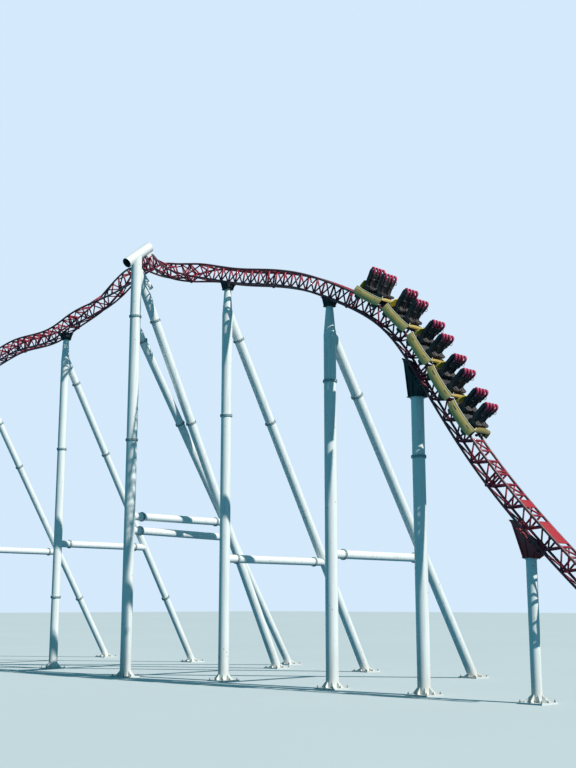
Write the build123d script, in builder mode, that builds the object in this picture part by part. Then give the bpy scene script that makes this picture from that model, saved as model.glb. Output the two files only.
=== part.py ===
# Steel roller coaster section, a 1:2 scale model in millimetres.
# +X runs along the track toward the drop, +Z is up, and the brace legs stand on the +Y side.
# The origin lies at the middle of the underside of the tall pylon column's base plate.
import os
from math import cos, pi, sin

from build123d import *

os.makedirs("parts", exist_ok=True)

# Route of the truss centre before the roll lifts it, as X and Z in one upright plane
track_y = 1300.0
route_points = [
    (-16300, 15690),
    (-13750, 16075),
    (-11800, 16360),
    (-8450, 16380),
    (-4450, 17425),
    (-450, 17190),
    (1800, 16995),
    (3200, 17060),
    (5250, 16545),
    (7550, 15975),
    (9200, 15470),
    (11400, 14445),
    (13550, 13040),
    (15400, 10595),
    (17550, 7430),
    (19650, 5000),
    (21600, 3060),
]

# Heartline roll: one full turn about a line above the rails
roll_start = -7150.0
roll_end = 4600.0
roll_ramp = 2000.0
heartline_height = 630.0

# Truss of the track
section_count = 9
bays_per_section = 5
bays_before_pylon = 17
pylon_route_x = -190.0
rail_gauge = 650.0
chord_spacing = 420.0
truss_depth = 580.0
rail_width = 90.0
chord_width = 86.0
tie_width = 56.0
brace_width = 42.0
bar_lap = 5.0
end_lap = 60.0
flange_size = 150.0
flange_thickness = 24.0
seat_gap = 0.3

# Tubes of the supports
tie_diameter = 330.0
head_diameter = 280.0
head_length = 1100.0
ring_width = 40.0
ring_thickness = 36.0
stub_length = 650.0
base_plate_size = 900.0
base_plate_thickness = 50.0
saddle_length = 420.0
saddle_height = 300.0
leg_spread = 8600.0
leg_rise = 200.0

# The two bents left of the pylon
west_bent_x = -15200.0
near_bent_x = -7400.0
near_column_diameter = 400.0
near_leg_diameter = 340.0
near_joint_height = 13820.0
west_joint_height = 12700.0
near_collars = (10450.0, 3320.0)
near_tie_height = 5850.0

# The two bents right of the pylon
crest_bent_x = 4890.0
crest_column_diameter = 430.0
crest_joint_height = 14000.0
crest_collars = (10660.0,)
drop_bent_x = 10850.0
drop_column_diameter = 470.0
drop_joint_height = 10920.0
drop_collars = (11280.0,)
main_leg_diameter = 410.0
crest_tie_height = 4800.0

# The two single columns under the drop
steep_bent_x = 14740.0
steep_seat_x = 14940.0
steep_column_diameter = 450.0
steep_column_top = 10100.0
steep_collars = (8010.0,)
steep_pad_height = 60.0
steep_pad_length = 300.0
low_bent_x = 19100.0
low_seat_x = 19250.0
low_column_diameter = 340.0
low_column_top = 4400.0

# Pylon
pylon_column_diameter = 465.0
pylon_joint_height = 15550.0
pylon_collar_height = 10000.0
pylon_leg_collar_height = 11130.0
pylon_elbow_height = 17800.0
pylon_leg_spread = 8900.0
rear_elbow_height = 15200.0
rear_leg_spread = 11600.0
rear_leg_skew = -1900.0
rear_leg_diameter = 360.0
rear_stub_length = 850.0
top_tube_low = 720.0
top_tube_high = 880.0
top_tube_diameter = 460.0
top_tube_wall = 20.0
hanger_height = 110.0
hanger_width = 240.0
hanger_depth = 80.0
knee_height = 17950.0
knee_reach = 850.0
knee_fall = 950.0
knee_diameter = 230.0
upper_tie_height = 6700.0
lower_tie_height = 6100.0

# Train of five cars, measured along the track and up from the rails
car_count = 5
car_pitch = 1575.0
car_length = 1400.0
front_car_x = 16550.0
axle_spacing = 900.0
body_half_width = 540.0
floor_height = 190.0
skirt_depth = 90.0
panel_thickness = 24.0
fairing_length = 90.0
fairing_height = 330.0
fairing_half_width = 330.0
beam_height = 110.0
beam_half_width = 110.0
coupler_reach = 70.0
wheel_diameter = 170.0
wheel_width = 54.0
wheel_sides = 16
side_wheel_diameter = 120.0
side_wheel_width = 44.0
stop_wheel_diameter = 100.0
stop_gap = 4.0
axle_bar = 60.0
pin_width = 24.0
carrier_x = 490.0
carrier_thickness = 24.0
carrier_length = 260.0
seat_width = 330.0
seat_side_gap = 30.0
seat_row_pitch = 660.0
seat_back_height = 800.0
arm_offset = 90.0
arm_width = 60.0

route = Spline(*[(x, track_y, z) for x, z in route_points])
rail_height = truss_depth / 2
rail_x = rail_gauge / 2
chord_x = chord_spacing / 2
rail_flange_x = rail_x - (flange_size - rail_width) / 2
rail_top = rail_height + rail_width / 2
chord_places = [
    (-rail_x, rail_height, rail_width),
    (rail_x, rail_height, rail_width),
    (-chord_x, -rail_height, chord_width),
    (chord_x, -rail_height, chord_width),
]


def roll_at(x):
    """Roll of the track about its heartline, in radians, with its rate ramped at both ends."""
    length = roll_end - roll_start
    rate = 2 * pi / (length - roll_ramp)
    run = min(max(x - roll_start, 0), length)
    if run < roll_ramp:
        return rate * run * run / (2 * roll_ramp)
    if run > length - roll_ramp:
        return 2 * pi - rate * (length - run) ** 2 / (2 * roll_ramp)
    return rate * (run - roll_ramp / 2)


def distance_at(x):
    """Distance along the route where it passes a given X."""
    low = 0.0
    high = route.length
    while high - low > 0.5:
        middle = (low + high) / 2
        if (route @ (middle / route.length)).X < x:
            low = middle
        else:
            high = middle
    return (low + high) / 2


# The truss swings out from the route in the roll, so the bay that hangs over the pylon starts before it
bay_length = distance_at(pylon_route_x) / bays_before_pylon


def station(distance):
    """Plane across the track: X across, Y up from the truss centre, Z along the route."""
    share = min(max(distance / route.length, 0), 1)
    point = route @ share
    along = route % share
    normal = Vector(-along.Z, 0, along.X)
    roll = roll_at(point.X)
    up = normal * cos(roll) - Vector(0, 1, 0) * sin(roll)
    centre = point + normal * heartline_height - up * heartline_height
    return Plane(origin=centre, x_dir=up.cross(along), z_dir=along)


def place(plane, across, up, along=0.0):
    """World point from sizes across, up and along a station plane."""
    return plane.from_local_coords(Vector(across, up, along))


def bar(start, end, width, facing):
    """Square bar between two points, with one side turned to a direction."""
    run = end - start
    plane = Plane(origin=start, x_dir=facing.cross(run), z_dir=run)
    return extrude(plane * Rectangle(width, width), amount=run.length)


def tube(start, end, diameter):
    """Round bar between two points."""
    run = end - start
    return extrude(Plane(origin=start, z_dir=run) * Circle(diameter / 2), amount=run.length)


def ring(point, direction, diameter):
    """Bolted flange ring that ends at a point, facing a direction."""
    plane = Plane(origin=point, z_dir=direction)
    return extrude(plane * Circle(diameter / 2 + ring_width), amount=-ring_thickness)


def save(part, name):
    part.label = name
    export_step(part, "parts/" + name + ".step")


# Track sections: rails, lower chords, ties and bracing fused where they cross
def section_stations(number):
    """Station planes at half bays, with a fine gap at the bolted ends."""
    first = number * bays_per_section * bay_length
    last = first + bays_per_section * bay_length
    planes = [station(first + bay_length / 2 * index) for index in range(2 * bays_per_section + 1)]
    planes[0] = station(first + seat_gap / 2)
    planes[-1] = station(last - seat_gap / 2)
    return planes


def chord_bars(planes):
    """Rails and lower chords as a straight bar for each half bay, lapped at joints and long at the ends."""
    bars = []
    last = len(planes) - 2
    for across, up, width in chord_places:
        for index in range(last + 1):
            start = place(planes[index], across, up)
            end = place(planes[index + 1], across, up)
            run = (end - start).normalized()
            start -= run * (end_lap if index == 0 else bar_lap)
            end += run * (end_lap if index == last else bar_lap)
            bars.append(bar(start, end, width, planes[index].y_dir + planes[index + 1].y_dir))
    return bars


def lattice_bars(planes):
    """Ties between the rails at half bays, lower ties at bays, zigzag sides and a diagonal in each bay."""
    bars = []
    inset = [0.0] * len(planes)
    inset[0] = flange_thickness + tie_width / 2
    inset[-1] = -inset[0]
    for index, plane in enumerate(planes):
        left_rail = place(plane, -rail_x, rail_height, inset[index])
        right_rail = place(plane, rail_x, rail_height, inset[index])
        bars.append(bar(left_rail, right_rail, tie_width, plane.y_dir))
        if index % 2 == 0:
            left_foot = place(plane, -chord_x, -rail_height, inset[index])
            right_foot = place(plane, chord_x, -rail_height, inset[index])
            bars.append(bar(left_foot, right_foot, tie_width, plane.y_dir))
            continue
        for other in (index - 1, index + 1):
            for across in (-chord_x, chord_x):
                head = place(plane, across, rail_height)
                foot = place(planes[other], across, -rail_height, inset[other])
                bars.append(bar(head, foot, brace_width, plane.x_dir))
        far_rail = place(planes[index + 1], rail_x, rail_height, inset[index + 1])
        bars.append(bar(left_rail, far_rail, brace_width, plane.y_dir))
    return bars


def track_section(number):
    planes = section_stations(number)
    bars = chord_bars(planes) + lattice_bars(planes)
    with BuildPart() as section:
        add(bars)
        for plane, inward in ((planes[0], 1), (planes[-1], -1)):
            with BuildSketch(plane):
                Rectangle(2 * rail_gauge, 2 * truss_depth)
            extrude(amount=-2 * inward * end_lap, mode=Mode.SUBTRACT)
            with BuildSketch(plane):
                with Locations((-rail_flange_x, rail_height), (rail_flange_x, rail_height)):
                    Rectangle(flange_size, rail_width)
                with Locations((-chord_x, -rail_height), (chord_x, -rail_height)):
                    Rectangle(flange_size, flange_size)
            extrude(amount=inward * flange_thickness)
    save(section.part, "track_section_" + str(number + 1))


for number in range(section_count):
    track_section(number)


def base_plate(x, y):
    corner = (Align.CENTER, Align.CENTER, Align.MIN)
    return Pos(x, y) * Box(base_plate_size, base_plate_size, base_plate_thickness, align=corner)


def collar(point, direction, diameter):
    """Pair of bolted flange rings around a tube, centred on a point."""
    plane = Plane(origin=point, z_dir=direction)
    return extrude(plane * Circle(diameter / 2 + ring_width), amount=ring_thickness, both=True)


def point_at(start, end, height):
    """Point at a given height on the line between two points."""
    return start + (end - start) * ((start.Z - height) / (start.Z - end.Z))


def facet(number):
    """Plane of a straight half bay of the truss, with its origin at the middle."""
    first = station(number * bay_length / 2).origin
    second = station((number + 1) * bay_length / 2).origin
    return Plane(origin=(first + second) * 0.5, x_dir=(0, 1, 0), z_dir=second - first)


def facet_at(x):
    """Number of the half bay that passes over a given X."""
    return int(distance_at(x) / (bay_length / 2))


def underside(number, drop=0.0):
    """Plane that faces up to the lower chords under a half bay."""
    plane = facet(number)
    seat = place(plane, 0, -rail_height - chord_width / 2 - seat_gap - drop)
    return Plane(origin=seat, x_dir=plane.x_dir, z_dir=plane.y_dir)


# A bent is a column with a tapered head, a saddle, a raking leg and a tie
def bent(name, x, column_size, leg_size, joint_height, collars, height_of_tie):
    seat = underside(facet_at(x))
    x = seat.origin.X
    top = seat.origin.Z - saddle_height
    shoulder = top - head_length
    outward = Vector(0, 1, 0)
    elbow = Vector(x, track_y, shoulder + leg_rise)
    foot = Vector(x, track_y + leg_spread, 0)
    run = (foot - elbow).normalized()
    joint = point_at(elbow, foot, joint_height)
    tie_start = Vector(x, track_y, height_of_tie)
    tie_end = point_at(elbow, foot, height_of_tie)
    column_flange = tie_start + outward * stub_length
    leg_flange = tie_end - outward * stub_length
    leg_joint = joint + run * seat_gap
    near_end = column_flange + outward * seat_gap
    far_end = leg_flange - outward * seat_gap

    column_tubes = [
        base_plate(x, track_y),
        tube(elbow, joint, leg_size),
        ring(joint, run, leg_size),
        tube(tie_start, column_flange, tie_diameter),
        ring(column_flange, outward, tie_diameter),
    ]
    for height in collars:
        column_tubes.append(collar(Vector(x, track_y, height), Vector(0, 0, 1), column_size))
    with BuildPart() as column:
        with BuildSketch(Plane(origin=(x, track_y, 0), x_dir=(1, 0, 0), z_dir=(0, -1, 0))):
            Polygon(
                (0, base_plate_thickness / 2),
                (column_size / 2, base_plate_thickness / 2),
                (column_size / 2, shoulder),
                (head_diameter / 2, top),
                (0, top),
                align=None,
            )
        revolve(axis=Axis((x, track_y, 0), (0, 0, 1)))
        add(column_tubes)
    save(column.part, name + "_column")

    with BuildPart() as saddle:
        with BuildSketch(Plane(origin=(x, track_y, top + seat_gap), x_dir=(0, 1, 0), z_dir=(0, 0, 1))):
            Rectangle(head_diameter, head_diameter)
        with BuildSketch(seat):
            Rectangle(chord_spacing + chord_width, saddle_length)
        loft(ruled=True)
    save(saddle.part, name + "_saddle")

    leg_tubes = [
        base_plate(x, foot.Y),
        tube(leg_joint, foot + Vector(0, 0, base_plate_thickness / 2), leg_size),
        ring(leg_joint, run * -1, leg_size),
        tube(tie_end, leg_flange, tie_diameter),
        ring(leg_flange, outward * -1, tie_diameter),
    ]
    for height in collars:
        if height < joint_height:
            leg_tubes.append(collar(point_at(elbow, foot, height), run, leg_size))
    with BuildPart() as leg:
        add(leg_tubes)
    save(leg.part, name + "_leg")

    tie_tubes = [
        tube(near_end, far_end, tie_diameter),
        ring(near_end, outward * -1, tie_diameter),
        ring(far_end, outward, tie_diameter),
    ]
    with BuildPart() as tie:
        add(tie_tubes)
    save(tie.part, name + "_tie")


bent("west_bent", west_bent_x, near_column_diameter, near_leg_diameter, west_joint_height,
     near_collars, near_tie_height)
bent("near_bent", near_bent_x, near_column_diameter, near_leg_diameter, near_joint_height,
     near_collars, near_tie_height)
bent("crest_bent", crest_bent_x, crest_column_diameter, main_leg_diameter, crest_joint_height,
     crest_collars, crest_tie_height)
bent("drop_bent", drop_bent_x, drop_column_diameter, main_leg_diameter, drop_joint_height,
     drop_collars, crest_tie_height)


# A single column under the drop, with a long tapered saddle on two pads
def steep_bent(name, x, seat_x, top, diameter, collars):
    middle = facet_at(seat_x)
    seat = underside(middle, steep_pad_height)
    column_tubes = [
        base_plate(x, track_y),
        tube(Vector(x, track_y, base_plate_thickness / 2), Vector(x, track_y, top), diameter),
        ring(Vector(x, track_y, top), Vector(0, 0, 1), diameter),
    ]
    for height in collars:
        column_tubes.append(collar(Vector(x, track_y, height), Vector(0, 0, 1), diameter))
    with BuildPart() as column:
        add(column_tubes)
    save(column.part, name + "_column")

    with BuildPart() as saddle:
        with BuildSketch(Plane(origin=(x, track_y, top + seat_gap), x_dir=(0, 1, 0), z_dir=(0, 0, 1))):
            Rectangle(diameter, diameter)
        with BuildSketch(seat):
            Rectangle(chord_spacing + chord_width, 3 * bay_length / 2)
        loft(ruled=True)
        for number in (middle - 1, middle + 1):
            with BuildSketch(underside(number)):
                Rectangle(chord_spacing + chord_width, steep_pad_length)
            extrude(amount=-2 * steep_pad_height)
    save(saddle.part, name + "_saddle")


steep_bent("steep_bent", steep_bent_x, steep_seat_x, steep_column_top, steep_column_diameter, steep_collars)
steep_bent("low_bent", low_bent_x, low_seat_x, low_column_top, low_column_diameter, ())


# Pylon: the column, the open cross tube that the track hangs from, two legs and their ties
def pylon():
    plane = station(bays_before_pylon * bay_length)
    hang = -rail_height - chord_width / 2 - seat_gap
    axis_up = hang - hanger_height - top_tube_diameter / 2
    level = place(plane, 0, axis_up)
    crossing = -level.Y / plane.x_dir.Y
    column_top = Vector(0, 0, place(plane, crossing, axis_up).Z)
    rise = Vector(0, plane.x_dir.Y, plane.x_dir.Z).normalized()
    if rise.Z < 0:
        rise = rise * -1
    low_end = column_top - rise * top_tube_low
    high_end = column_top + rise * top_tube_high
    down = Vector(0, 0, -1)
    outward = Vector(0, 1, 0)
    column_joint = Vector(0, 0, pylon_joint_height)
    elbow = Vector(0, 0, pylon_elbow_height)
    foot = Vector(0, pylon_leg_spread, 0)
    run = (foot - elbow).normalized()
    joint = point_at(elbow, foot, pylon_joint_height)
    rear_elbow = Vector(0, 0, rear_elbow_height)
    rear_foot = Vector(rear_leg_skew, rear_leg_spread, 0)
    rear_run = (rear_foot - rear_elbow).normalized()
    rear_joint = rear_elbow + rear_run * rear_stub_length
    knee_start = Vector(0, 0, knee_height)
    knee_end = knee_start + Vector(0, knee_reach, -knee_fall)

    neck_plane = Plane(origin=place(plane, 0, -rail_height - tie_width / 2 - seat_gap), x_dir=plane.x_dir,
                       z_dir=plane.y_dir * -1)
    neck_height = (chord_width - tie_width) / 2 + hanger_height + top_tube_wall
    neck = extrude(neck_plane * Rectangle(hanger_width, hanger_depth), amount=neck_height)
    top_tube = tube(low_end, high_end, top_tube_diameter)
    bore = tube(low_end, high_end - rise * top_tube_wall, top_tube_diameter - 2 * top_tube_wall)
    head_tubes = [
        tube(column_joint, column_top, pylon_column_diameter),
        ring(column_joint, down, pylon_column_diameter),
        tube(elbow, joint, main_leg_diameter),
        ring(joint, run, main_leg_diameter),
        tube(knee_start, knee_end, knee_diameter),
        neck,
    ]
    with BuildPart() as head:
        add(top_tube)
        add(head_tubes)
        add(bore, mode=Mode.SUBTRACT)
    save(head.part, "pylon_head")

    upper_start = Vector(0, 0, upper_tie_height)
    upper_end = point_at(elbow, foot, upper_tie_height)
    lower_start = Vector(0, 0, lower_tie_height)
    lower_end = point_at(rear_elbow, rear_foot, lower_tie_height)
    rear_way = (lower_end - lower_start).normalized()
    upper_flange = upper_start + outward * stub_length
    lower_flange = lower_start + rear_way * stub_length
    upper_far = upper_end - outward * stub_length
    lower_far = lower_end - rear_way * stub_length
    column_tubes = [
        base_plate(0, 0),
        tube(Vector(0, 0, base_plate_thickness / 2), column_joint + down * seat_gap, pylon_column_diameter),
        ring(column_joint + down * seat_gap, Vector(0, 0, 1), pylon_column_diameter),
        collar(Vector(0, 0, pylon_collar_height), Vector(0, 0, 1), pylon_column_diameter),
        tube(rear_elbow, rear_joint, rear_leg_diameter),
        ring(rear_joint, rear_run, rear_leg_diameter),
        tube(upper_start, upper_flange, tie_diameter),
        ring(upper_flange, outward, tie_diameter),
        tube(lower_start, lower_flange, tie_diameter),
        ring(lower_flange, rear_way, tie_diameter),
    ]
    with BuildPart() as column:
        add(column_tubes)
    save(column.part, "pylon_column")

    pylon_leg("pylon_leg", joint, run, foot, main_leg_diameter, upper_end, upper_far, outward)
    pylon_leg("pylon_rear_leg", rear_joint, rear_run, rear_foot, rear_leg_diameter,
              lower_end, lower_far, rear_way)
    pylon_tie("pylon_tie", upper_flange, upper_far, outward)
    pylon_tie("pylon_rear_tie", lower_flange, lower_far, rear_way)


def pylon_leg(name, joint, run, foot, diameter, tie_end, tie_flange, way):
    start = joint + run * seat_gap
    leg_tubes = [
        base_plate(foot.X, foot.Y),
        tube(start, foot + Vector(0, 0, base_plate_thickness / 2), diameter),
        ring(start, run * -1, diameter),
        collar(point_at(joint, foot, pylon_leg_collar_height), run, diameter),
        tube(tie_end, tie_flange, tie_diameter),
        ring(tie_flange, way * -1, tie_diameter),
    ]
    with BuildPart() as leg:
        add(leg_tubes)
    save(leg.part, name)


def pylon_tie(name, near_flange, far_flange, way):
    start = near_flange + way * seat_gap
    end = far_flange - way * seat_gap
    tie_tubes = [
        tube(start, end, tie_diameter),
        ring(start, way * -1, tie_diameter),
        ring(end, way, tie_diameter),
    ]
    with BuildPart() as tie:
        add(tie_tubes)
    save(tie.part, name)


pylon()


front_car_distance = distance_at(front_car_x)


# Train: every car has two axles with three wheels on each rail, a body and four seats
def rail_plane(distance):
    """Plane across the straight half bay under a distance, with its origin on the truss centre."""
    half = bay_length / 2
    plane = facet(int(distance / half))
    return plane.offset(distance - (int(distance / half) + 0.5) * half)


def wheel(plane, centre, axis, outward, diameter, width):
    """Wheel with a corner of its many sides turned toward its rail."""
    start = plane.from_local_coords(centre - axis * (width / 2))
    end = plane.from_local_coords(centre + axis * (width / 2))
    toward = plane.from_local_coords(centre + outward) - plane.from_local_coords(centre)
    face = Plane(origin=start, x_dir=toward, z_dir=end - start)
    return extrude(face * RegularPolygon(diameter / 2, wheel_sides), amount=width)


def block(plane, low, high):
    """Box between two corners given across, up and along a plane."""
    size = high - low
    centre = (low + high) * 0.5
    return plane * Pos(centre) * Box(size.X, size.Y, size.Z)


def side_block(plane, side, inner, outer, low, high, half_length):
    """Box on one side of the track, from an inner to an outer distance across."""
    edges = sorted((side * inner, side * outer))
    return block(plane, Vector(edges[0], low, -half_length), Vector(edges[1], high, half_length))


def axle(distance):
    """Wheels, carriers and cross beam that stand on the rails at a distance."""
    plane = rail_plane(distance)
    across = Vector(1, 0, 0)
    up = Vector(0, 1, 0)
    road_up = rail_top + seat_gap + wheel_diameter / 2
    side_x = rail_x + rail_width / 2 + seat_gap + side_wheel_diameter / 2
    stop_up = rail_height - rail_width / 2 - stop_gap - stop_wheel_diameter / 2
    half_bar = axle_bar / 2
    half_pin = pin_width / 2
    pieces = [block(plane, Vector(-carrier_x, road_up - half_bar, -half_bar),
                    Vector(carrier_x, road_up + half_bar, half_bar))]
    for side in (-1, 1):
        pieces.append(wheel(plane, across * side * rail_x + up * road_up, across, up,
                            wheel_diameter, wheel_width))
        pieces.append(wheel(plane, across * side * side_x + up * rail_height, up, across,
                            side_wheel_diameter, side_wheel_width))
        pieces.append(wheel(plane, across * side * rail_x + up * stop_up, across, up,
                            stop_wheel_diameter, wheel_width))
        pieces.append(side_block(plane, side, carrier_x - carrier_thickness, carrier_x,
                                 stop_up - half_bar, road_up + axle_bar, carrier_length / 2))
        pieces.append(side_block(plane, side, rail_x - wheel_width / 2, carrier_x, stop_up - half_pin,
                                 stop_up + half_pin, half_pin))
        pieces.append(side_block(plane, side, side_x, carrier_x, rail_height - half_pin,
                                 rail_height + half_pin, half_pin))
    return pieces


def car(number):
    name = "car_" + str(number + 1)
    middle = front_car_distance - number * car_pitch
    plane = station(middle)
    beam_low = rail_top + beam_height
    floor_low = rail_top + floor_height
    floor_top = floor_low + panel_thickness
    half = car_length / 2
    pieces = axle(middle - axle_spacing / 2) + axle(middle + axle_spacing / 2)
    pieces.append(block(plane, Vector(-beam_half_width, beam_low, -half + axle_bar),
                        Vector(beam_half_width, floor_low - seat_gap, half - axle_bar)))
    pieces.append(block(plane, Vector(-axle_bar / 2, beam_low, half - 2 * axle_bar),
                        Vector(axle_bar / 2, beam_low + axle_bar, half + coupler_reach)))
    for along in (-axle_spacing / 2, axle_spacing / 2):
        pieces.append(block(plane, Vector(-beam_half_width, beam_low - axle_bar, along - axle_bar / 2),
                            Vector(beam_half_width, beam_low + axle_bar / 2, along + axle_bar / 2)))
    with BuildPart() as chassis:
        add(pieces)
    save(chassis.part, name + "_chassis")

    side = body_half_width
    inner = side - panel_thickness
    skirt_low = rail_top - skirt_depth
    with BuildPart() as body:
        with BuildSketch(plane.offset(-half)):
            Polygon(
                (-side, skirt_low),
                (-inner, skirt_low),
                (-inner, floor_low),
                (inner, floor_low),
                (inner, skirt_low),
                (side, skirt_low),
                (side, floor_top),
                (-side, floor_top),
                align=None,
            )
        extrude(amount=car_length)
        rear = place(plane, 0, floor_top, -half)
        with BuildSketch(Plane(origin=rear, x_dir=plane.z_dir, z_dir=-plane.x_dir)):
            Polygon(
                (0, -panel_thickness / 2),
                (fairing_length, -panel_thickness / 2),
                (fairing_length * 0.6, fairing_height),
                (0, fairing_height * 0.8),
                align=None,
            )
        extrude(amount=fairing_half_width, both=True)
    save(body.part, name + "_body")

    seat_planes = []
    for row in (-0.5, 0.5):
        for place_in_row in (-0.5, 0.5):
            origin = place(plane, place_in_row * (seat_width + seat_side_gap), floor_top + seat_gap,
                           row * seat_row_pitch)
            seat_planes.append(Plane(origin=origin, x_dir=plane.z_dir, z_dir=-plane.x_dir))

    with BuildPart() as seats:
        for seat_plane in seat_planes:
            with BuildSketch(seat_plane):
                Polygon(
                    (-170, 0),
                    (170, 0),
                    (200, 130),
                    (-90, 110),
                    (-190, seat_back_height),
                    (-250, seat_back_height),
                    (-210, 100),
                    align=None,
                )
            extrude(amount=seat_width / 2, both=True)
    save(seats.part, name + "_seats")

    with BuildPart() as restraints:
        for seat_plane in seat_planes:
            for arm in (-arm_offset, arm_offset):
                with BuildSketch(seat_plane.offset(arm)):
                    Polygon(
                        (-245, seat_back_height + seat_gap),
                        (-195, seat_back_height + seat_gap),
                        (-150, seat_back_height + 80),
                        (-10, seat_back_height + 40),
                        (30, seat_back_height - 180),
                        (0, seat_back_height - 380),
                        (50, seat_back_height - 380),
                        (85, seat_back_height - 180),
                        (40, seat_back_height + 70),
                        (-160, seat_back_height + 135),
                        align=None,
                    )
                extrude(amount=arm_width / 2, both=True)
            with BuildSketch(seat_plane):
                with Locations((30, seat_back_height - 350)):
                    Rectangle(50, 70)
            extrude(amount=arm_offset, both=True)
    save(restraints.part, name + "_restraints")


for number in range(car_count):
    car(number)
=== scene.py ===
from math import cos, pi, radians, sin

import bmesh
import bpy
import numpy as np
from mathutils import Matrix, Vector


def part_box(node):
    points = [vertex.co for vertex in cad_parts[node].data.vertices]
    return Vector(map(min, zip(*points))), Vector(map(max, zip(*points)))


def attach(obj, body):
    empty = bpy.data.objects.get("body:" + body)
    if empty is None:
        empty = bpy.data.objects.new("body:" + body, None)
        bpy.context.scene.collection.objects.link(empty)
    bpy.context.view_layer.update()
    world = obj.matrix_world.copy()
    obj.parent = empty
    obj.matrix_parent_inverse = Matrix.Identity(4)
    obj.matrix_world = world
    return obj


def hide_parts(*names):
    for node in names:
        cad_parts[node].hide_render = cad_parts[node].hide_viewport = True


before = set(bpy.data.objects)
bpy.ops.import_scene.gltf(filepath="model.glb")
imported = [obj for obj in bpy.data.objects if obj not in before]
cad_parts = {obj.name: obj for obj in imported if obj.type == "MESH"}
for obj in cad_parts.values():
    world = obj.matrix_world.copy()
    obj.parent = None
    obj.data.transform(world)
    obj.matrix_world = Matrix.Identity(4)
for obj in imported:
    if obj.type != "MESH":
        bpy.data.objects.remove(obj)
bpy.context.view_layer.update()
scene = bpy.context.scene

# The solids' own sizes in metres: the route of the track, its roll and its lattice
TRACK_Y = 1.3
ROUTE_POINTS = [
    (-16.3, 15.69), (-13.75, 16.075), (-11.8, 16.36), (-8.45, 16.38), (-4.45, 17.425), (-0.45, 17.19),
    (1.8, 16.995), (3.2, 17.06), (5.25, 16.545), (7.55, 15.975), (9.2, 15.47), (11.4, 14.445),
    (13.55, 13.04), (15.4, 10.595), (17.55, 7.43), (19.65, 5.0), (21.6, 3.06),
]
ROLL = {"Roll start": -7.15, "Roll end": 4.6, "Roll ramp": 2.0, "Heartline height": 0.63}
SECTIONS = 9
HALF_BAYS = 10
BAYS_BEFORE_PYLON = 17
PYLON_ROUTE_X = -0.19
RAIL_X = 0.325
CHORD_X = 0.21
RAIL_Z = 0.29
RAIL_DIAMETER = 0.09
RAIL_TOP = RAIL_Z + RAIL_DIAMETER / 2
CHORD_DIAMETER = 0.086
FLANGE_DIAMETER = 0.15
FLANGE_THICKNESS = 0.024

# The solids' own sizes: supports and saddles
HEAD_LENGTH = 1.1
LEG_RISE = 0.2
LEG_SPREAD = 8.6
MAIN_LEG = 0.41
STUB_LENGTH = 0.65
TIE_DIAMETER = 0.33
SINGLE_COLUMNS = {"steep_bent": 0.45, "low_bent": 0.34}
RING_WIDTH = 0.04
RING_THICKNESS = 0.036
BASE_SIZE = 0.9
BASE_THICKNESS = 0.05
PYLON = {
    "column": 0.465, "joint": 15.55, "collar": 10.0, "leg collar": 11.13, "elbow": 17.8, "leg spread": 8.9,
    "rear elbow": 15.2, "rear spread": 11.6, "rear skew": -1.9, "rear leg": 0.36, "rear stub": 0.85,
    "upper tie": 6.7, "lower tie": 6.1, "hanger": 0.11, "top tube": 0.46, "top wall": 0.02, "top low": 0.72,
    "top high": 0.88,
}
SEAT_GAP = 0.0003
SADDLE_TOP = 0.28
SADDLE_LENGTH = 0.42
STEEP_PAD_HEIGHT = 0.06

# The solids' own sizes: the train
CAR = {
    "count": 5, "pitch": 1.575, "length": 1.4, "front x": 16.55, "axle spacing": 0.9, "half width": 0.54,
    "floor height": 0.19, "skirt depth": 0.09, "beam height": 0.11, "coupler": 0.07, "fairing height": 0.33,
    "fairing width": 0.33, "wheel": 0.17, "side wheel": 0.12, "stop wheel": 0.1, "carrier": 0.49,
    "seat width": 0.33, "row pitch": 0.66, "seat back": 0.8,
}

# What this scene adds to the solids: round bracing, small flanges, stiffeners, straps and plates
RUNG_DIAMETER = 0.074
BRACE_DIAMETER = 0.061
JOINT_GAP = 0.0005
RAIL_FLANGE = 0.1
RAIL_FLANGE_INSET = 0.055
RAIL_FLANGE_DROP = 0.012
FLANGE_BOLTS = {"count": 6, "circle": 0.39, "size": 0.14, "proud": 0.006}
COLUMN_STIFFENER = 0.26
LEG_STIFFENER = 0.16
STRAP_RADIUS = 0.051
PLATE_RISE = 0.047


def track_slopes(points):
    """Slope at each point of the smooth cubic through them, which the solids of the track follow."""
    way = np.array(points)
    steps = np.linalg.norm(np.diff(way, axis=0), axis=1)
    places = np.concatenate([[0], np.cumsum(steps)])
    chords = np.diff(way, axis=0) / steps[:, None]
    count = len(way)
    table = np.zeros((count, count))
    right = np.zeros((count, 2))
    table[0, 0] = table[-1, -1] = 1
    for end, near in ((0, slice(0, 4)), (-1, slice(-4, None))):
        for axis in (0, 1):
            fit = np.polyfit(places[near] - places[end], way[near, axis], 3)
            right[end, axis] = fit[2]
    for k in range(1, count - 1):
        before, after = 1 / steps[k - 1], 1 / steps[k]
        table[k, k - 1:k + 2] = before, 2 * (before + after), after
        right[k] = 3 * (chords[k - 1] * before + chords[k] * after)
    return way, steps, np.linalg.solve(table, right)


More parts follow.
